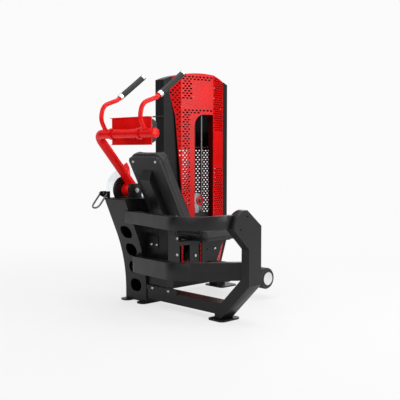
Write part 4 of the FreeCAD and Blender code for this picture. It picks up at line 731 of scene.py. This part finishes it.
# Handle grips: rubber sleeves with fine rings, between a chromed collar and a chromed end cap.
grip_black = finish("grip_black", (0.022, 0.022, 0.023), (0.1, 0.1, 0.1), 0.3, 900, 0.42, 0.06, 0.0003,
                    Specular_IOR_Level=0.35)
dress(rod_chrome, "grip_fittings")
rise = math.radians(36.4)
grip_line = Vector((0, math.cos(rise), math.sin(rise)))
grip_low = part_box("grips")[0]
SOLID_RADIUS, SLEEVE_RADIUS, SLEEVE_BORE, SLEEVE_LENGTH = 0.016, 0.0188, 0.0135, 0.206
RING_COUNT, RING_DEPTH = 34, 0.0003
first_y = grip_low[1] + SOLID_RADIUS * math.sin(rise)
first_z = grip_low[2] + SOLID_RADIUS * math.cos(rise)
lots = []
for x in HANDLE_X:
    profile = [(0.0, SLEEVE_BORE)]
    for k in range(RING_COUNT):
        start = SLEEVE_LENGTH * k / RING_COUNT
        pitch = SLEEVE_LENGTH / RING_COUNT
        profile += [(start + pitch * 0.08, SLEEVE_RADIUS - RING_DEPTH), (start + pitch * 0.2, SLEEVE_RADIUS),
                    (start + pitch * 0.75, SLEEVE_RADIUS), (start + pitch * 0.92, SLEEVE_RADIUS - RING_DEPTH)]
    profile += [(SLEEVE_LENGTH, SLEEVE_BORE), (0.0, SLEEVE_BORE)]
    lots.append(turned(profile, (x, first_y, first_z), grip_line, 28))
grips = new_piece("ringed_grips", gathered("ringed_grips", lots), grip_black, "arm", True)
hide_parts("grips")


# Upholstery: the seat, the backrest and the chest pad are moulded foam under black vinyl, pulled
# tight over rounded boards and closed by a welt. They rest flat on their boards.
hide_grain, given, made = new_effect(
    "hide_grain",
    [("Colour", "Color", (0.03, 0.03, 0.03, 1)), ("Scuff Colour", "Color", (0.07, 0.07, 0.07, 1)),
     ("Scuffs", "Float", 0.2), ("Grain Scale", "Float", 500.0), ("Roughness", "Float", 0.5),
     ("Unevenness", "Float", 0.1)],
    [("Color", "Color"), ("Roughness", "Float"), ("Height", "Float")])
spot = hide_grain.nodes.new("ShaderNodeTexCoord").outputs["Object"]
cells = hide_grain.nodes.new("ShaderNodeTexVoronoi")
cells.feature = "DISTANCE_TO_EDGE"
hide_grain.links.new(spot, cells.inputs["Vector"])
hide_grain.links.new(given.outputs["Grain Scale"], cells.inputs["Scale"])
crease = mapped(hide_grain, cells.outputs["Distance"], 0.0, 0.25, 0.0, 1.0)
wrinkle = noise_in(hide_grain, spot, 22.0, 4.0)
rubbed = summed(hide_grain, "MULTIPLY", mapped(hide_grain, wrinkle, 0.5, 0.72, 0.0, 1.0), given.outputs["Scuffs"])
hide_grain.links.new(blended(hide_grain, rubbed, given.outputs["Colour"], given.outputs["Scuff Colour"]),
                     made.inputs["Color"])
hide_grain.links.new(summed(hide_grain, "ADD", given.outputs["Roughness"],
                            summed(hide_grain, "MULTIPLY", mapped(hide_grain, wrinkle, 0.3, 0.7, 1.0, -1.0),
                                   given.outputs["Unevenness"])), made.inputs["Roughness"])
hide_grain.links.new(summed(hide_grain, "ADD", crease, summed(hide_grain, "MULTIPLY", wrinkle, 1.5)),
                     made.inputs["Height"])
vinyl = finish("black_vinyl", (0.021, 0.021, 0.022), (0.045, 0.045, 0.047), 0.4, 480, 0.46, 0.06, 0.00035,
               effect=hide_grain, Specular_IOR_Level=0.42)
welt_vinyl = finish("welt_vinyl", (0.012, 0.012, 0.013), (0.03, 0.03, 0.03), 0.2, 900, 0.42, 0.05, 0.0002,
                    effect=hide_grain, Specular_IOR_Level=0.4)
board_black = finish("board_black", (0.018, 0.018, 0.019), (0.05, 0.05, 0.05), 0.3, 620, 0.5, 0.05, 0.0005,
                     Specular_IOR_Level=0.35)
dress(board_black, "seat_board", "backrest_board")


def round_ring(width, length, corner, height, tuck):
    """A rounded rectangle whose sides bow in between its corners by tuck."""
    points = []
    for quarter, (sx, sy) in enumerate(((1, -1), (1, 1), (-1, 1), (-1, -1))):
        middle = Vector((sx * (width / 2 - corner), sy * (length / 2 - corner)))
        for k in range(9):
            turn = math.radians(-90 + 90 * quarter + 90 * k / 8)
            points.append(middle + Vector((math.cos(turn), math.sin(turn))) * corner)
    full = []
    for a, b in zip(points, points[1:] + points[:1]):
        count = max(1, int((b - a).length / 0.02))
        full += [a.lerp(b, k / count) for k in range(count)]
    result = []
    for p in full:
        bow_x = max(0.0, 1 - (2 * p.y / length) ** 2)
        bow_y = max(0.0, 1 - (2 * p.x / width) ** 2)
        near_x, near_y = abs(p.x) / (width / 2), abs(p.y) / (length / 2)
        result.append((p.x - math.copysign(tuck * bow_x * near_x ** 6, p.x),
                       p.y - math.copysign(tuck * bow_y * near_y ** 6, p.y), height))
    return result


def stuffed(name, width, length, depth, corner, levels, tuck, cap, settle):
    """A cushion: a lofted cover, blown up as cloth on its flat base, then given its welt."""
    rings = [round_ring(width - 2 * inset, length - 2 * inset, max(0.008, corner - inset * 0.6), share * depth,
                        tuck * (0.4 + 0.6 * math.sin(math.pi * share))) for share, inset in levels]
    count = min(len(ring) for ring in rings)
    points, faces = [], []
    for ring in rings:
        step = len(ring) / count
        points += [ring[int(k * step)] for k in range(count)]
    for i in range(len(rings) - 1):
        for k in range(count):
            a, b = i * count + k, i * count + (k + 1) % count
            faces.append((a, b, b + count, a + count))
    faces.append(tuple(reversed(range(count))))
    faces.append(tuple(range((len(rings) - 1) * count, len(rings) * count)))
    mesh = gathered(name, [(points, faces)])
    cover = bpy.data.objects.new(name, mesh)
    scene.collection.objects.link(cover)
    remesh = cover.modifiers.new("weave", "REMESH")
    remesh.mode, remesh.voxel_size = "VOXEL", WEAVE
    relax = cover.modifiers.new("relax", "SMOOTH")
    relax.iterations, relax.factor = 4, 0.5
    plain = bpy.data.meshes.new_from_object(cover.evaluated_get(bpy.context.evaluated_depsgraph_get()))
    cover.modifiers.clear()
    cover.data = plain
    rest = [v.co.copy() for v in plain.vertices]
    base = cover.vertex_groups.new(name="base")
    base.add([i for i, co in enumerate(rest) if co.z < 0.007], 1.0, "REPLACE")
    cloth = cover.modifiers.new("fill", "CLOTH")
    cloth.settings.quality = 5
    cloth.settings.vertex_group_mass = "base"
    cloth.settings.use_pressure = True
    cloth.settings.uniform_pressure_force = FILL_PRESSURE
    cloth.settings.effector_weights.gravity = 0
    cloth.point_cache.frame_start, cloth.point_cache.frame_end = 1, FILL_FRAMES
    for step in range(1, FILL_FRAMES + 1):
        scene.frame_set(step)
    blown = cover.evaluated_get(bpy.context.evaluated_depsgraph_get()).to_mesh()
    filled = [v.co.copy() for v in blown.vertices]
    cover.modifiers.clear()
    scene.frame_set(1)
    for vertex, start, end in zip(plain.vertices, rest, filled):
        move = (end - start)
        if move.length > cap:
            move = move.normalized() * cap
        vertex.co = start + move * min(1.0, max(0.0, start.z - 0.004) / 0.012)
    crown = max(v.co.z for v in plain.vertices)
    for vertex in plain.vertices:
        high = max(0.0, vertex.co.z - 0.5 * depth) / max(1e-6, crown - 0.5 * depth)
        dish = math.exp(-((vertex.co.x / (0.30 * width)) ** 2 + (vertex.co.y / (0.34 * length)) ** 2))
        vertex.co.z += high * settle * (dish - 0.45)
    outline = round_ring(width * 1.3, length * 1.3, corner * 1.3, 0.72 * depth, 0)
    skin = BVHTree.FromPolygons([v.co.copy() for v in plain.vertices], [tuple(p.vertices) for p in plain.polygons])
    welt = []
    for p in outline:
        start = Vector(p)
        aim = Vector((p[0] * 0.55, p[1] * 0.55, p[2])) - start
        hit = skin.ray_cast(start, aim.normalized())[0]
        if hit:
            welt.append(hit)
    seam = bpy.data.curves.new(name + "_welt", "CURVE")
    seam.dimensions, seam.bevel_depth, seam.bevel_resolution = "3D", WELT_RADIUS, 3
    line = seam.splines.new("NURBS")
    line.points.add(len(welt) - 1)
    for point, at in zip(line.points, welt):
        point.co = (*at, 1)
    line.order_u, line.use_cyclic_u = 4, True
    line.resolution_u = 3
    seam_object = bpy.data.objects.new(name + "_welt", seam)
    seam_mesh = bpy.data.meshes.new_from_object(seam_object)
    bpy.data.objects.remove(seam_object)
    bpy.data.objects.remove(cover)
    return plain, seam_mesh


def upholster(name, plain, seam, to_place, node, body):
    """Set a cushion and its welt on the machine."""
    plain.transform(to_place)
    seam.transform(to_place)
    cushion = new_piece(name, plain, vinyl, body, True)
    subdivide = cushion.modifiers.new("round", "SUBSURF")
    subdivide.levels = subdivide.render_levels = 1
    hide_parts(node)
    new_piece(name + "_welt", seam, welt_vinyl, body, True)


WEAVE, FILL_PRESSURE, FILL_FRAMES, WELT_RADIUS = 0.0055, 4, 20, 0.0021
LEVELS = [(0.0, 0.013), (0.12, 0.008), (0.3, 0.006), (0.55, 0.006), (0.72, 0.008), (0.84, 0.016), (0.93, 0.032),
          (0.975, 0.058)]
low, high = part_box("seat_cushion")
middle = Vector(((low[0] + high[0]) / 2, (low[1] + high[1]) / 2, low[2]))
plain, seam = stuffed("seat_pad", high[0] - low[0], high[1] - low[1], high[2] - low[2], 0.05, LEVELS, 0.005, 0.007,
                      0.004)
upholster("seat_pad", plain, seam, Matrix.Translation(middle), "seat_cushion", "frame")

BOARD_THICKNESS, PAD_RISE, PAD_STAND = 0.018, 0.2655, 0.0183
PAD_WIDTH, PAD_LENGTH, PAD_DEPTH, PAD_CORNER = 0.318, 0.562, 0.084, 0.046
board_low, board_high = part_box("backrest_board")
back_up = Vector((0, -math.sin(LEAN), math.cos(LEAN)))
foot = Vector(((board_low[0] + board_high[0]) / 2, board_high[1] - BOARD_THICKNESS * math.cos(LEAN), board_low[2]))
centre = foot + back_up * PAD_RISE + back_out * PAD_STAND
plain, seam = stuffed("back_pad", PAD_WIDTH, PAD_LENGTH, PAD_DEPTH, PAD_CORNER, LEVELS, 0.006, 0.008, 0.006)
stand_up = Matrix.Translation(centre) @ Matrix((
    (-1, 0, 0, 0), (0, back_up.y, back_out.y, 0), (0, back_up.z, back_out.z, 0), (0, 0, 0, 1)))
upholster("back_pad", plain, seam, stand_up, "backrest_cushion", "frame")

low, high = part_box("chest_pad")
plain, seam = stuffed("chest_roll", high[0] - low[0], high[2] - low[2], high[1] - low[1], 0.03,
                      [(0.0, 0.006), (0.14, 0.004), (0.3, 0.005), (0.5, 0.012), (0.68, 0.022), (0.83, 0.036),
                       (0.93, 0.052), (0.98, 0.066)], 0.003, 0.006, 0.002)
face_forward = Matrix.Translation(Vector(((low[0] + high[0]) / 2, low[1], (low[2] + high[2]) / 2))) @ Matrix((
    (-1, 0, 0, 0), (0, 0, 1, 0), (0, 1, 0, 0), (0, 0, 0, 1)))
upholster("chest_roll", plain, seam, face_forward, "chest_pad", "arm")

# Foot rollers: closed-cell foam skinned in black, pushed onto a steel axle between chromed caps. Each
# roll is waisted a little and rounded at its ends.
foam_black = finish("foam_black", (0.019, 0.019, 0.02), (0.05, 0.05, 0.05), 0.35, 760, 0.56, 0.06, 0.0004,
                    effect=hide_grain, Specular_IOR_Level=0.35)
dress(rod_chrome, "roller_caps")
AXLE_BORE, FACE_INNER, FACE_OUTER, FACE_DISH, END_ROUND, WAIST = 0.0124, 0.03, 0.05, 0.0006, 0.012, 0.0012
for node, body in (("foot_roller_right", "roller_right"), ("foot_roller_left", "roller_left")):
    low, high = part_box(node)
    length, radius = high[0] - low[0], (high[2] - low[2]) / 2
    quarter = [(END_ROUND * math.cos(math.radians(a)), END_ROUND * math.sin(math.radians(a)))
               for a in range(0, 91, 15)]
    profile = [(0.0, AXLE_BORE), (0.0, FACE_INNER), (FACE_DISH, FACE_OUTER)]
    profile += [(END_ROUND - near, radius - END_ROUND + far) for near, far in quarter]
    profile += [(END_ROUND + (length - 2 * END_ROUND) * k / 24, radius - WAIST * math.sin(math.pi * k / 24))
                for k in range(1, 24)]
    profile += [(length - END_ROUND + far, radius - END_ROUND + near) for near, far in quarter]
    profile += [(length - FACE_DISH, FACE_OUTER), (length, FACE_INNER), (length, AXLE_BORE), (0.0, AXLE_BORE)]
    place = (low[0], (low[1] + high[1]) / 2, (low[2] + high[2]) / 2)
    roll = new_piece(node + "_foam", gathered(node, [turned(profile, place, (1, 0, 0), 56)]), foam_black, body,
                     True)
    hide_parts(node)

# Cam and its guard: a black grooved disc under a clear moulded cover, open below for the cable and
# closed over the top.
dress(black_nylon, "cam_disc")
clear = finish("clear_cover", (0.95, 0.97, 0.98), (0.9, 0.9, 0.9), 0.2, 60, 0.06, 0.03, 0.00005,
               Transmission_Weight=1.0, IOR=1.08)
dress(clear, "cam_guard")
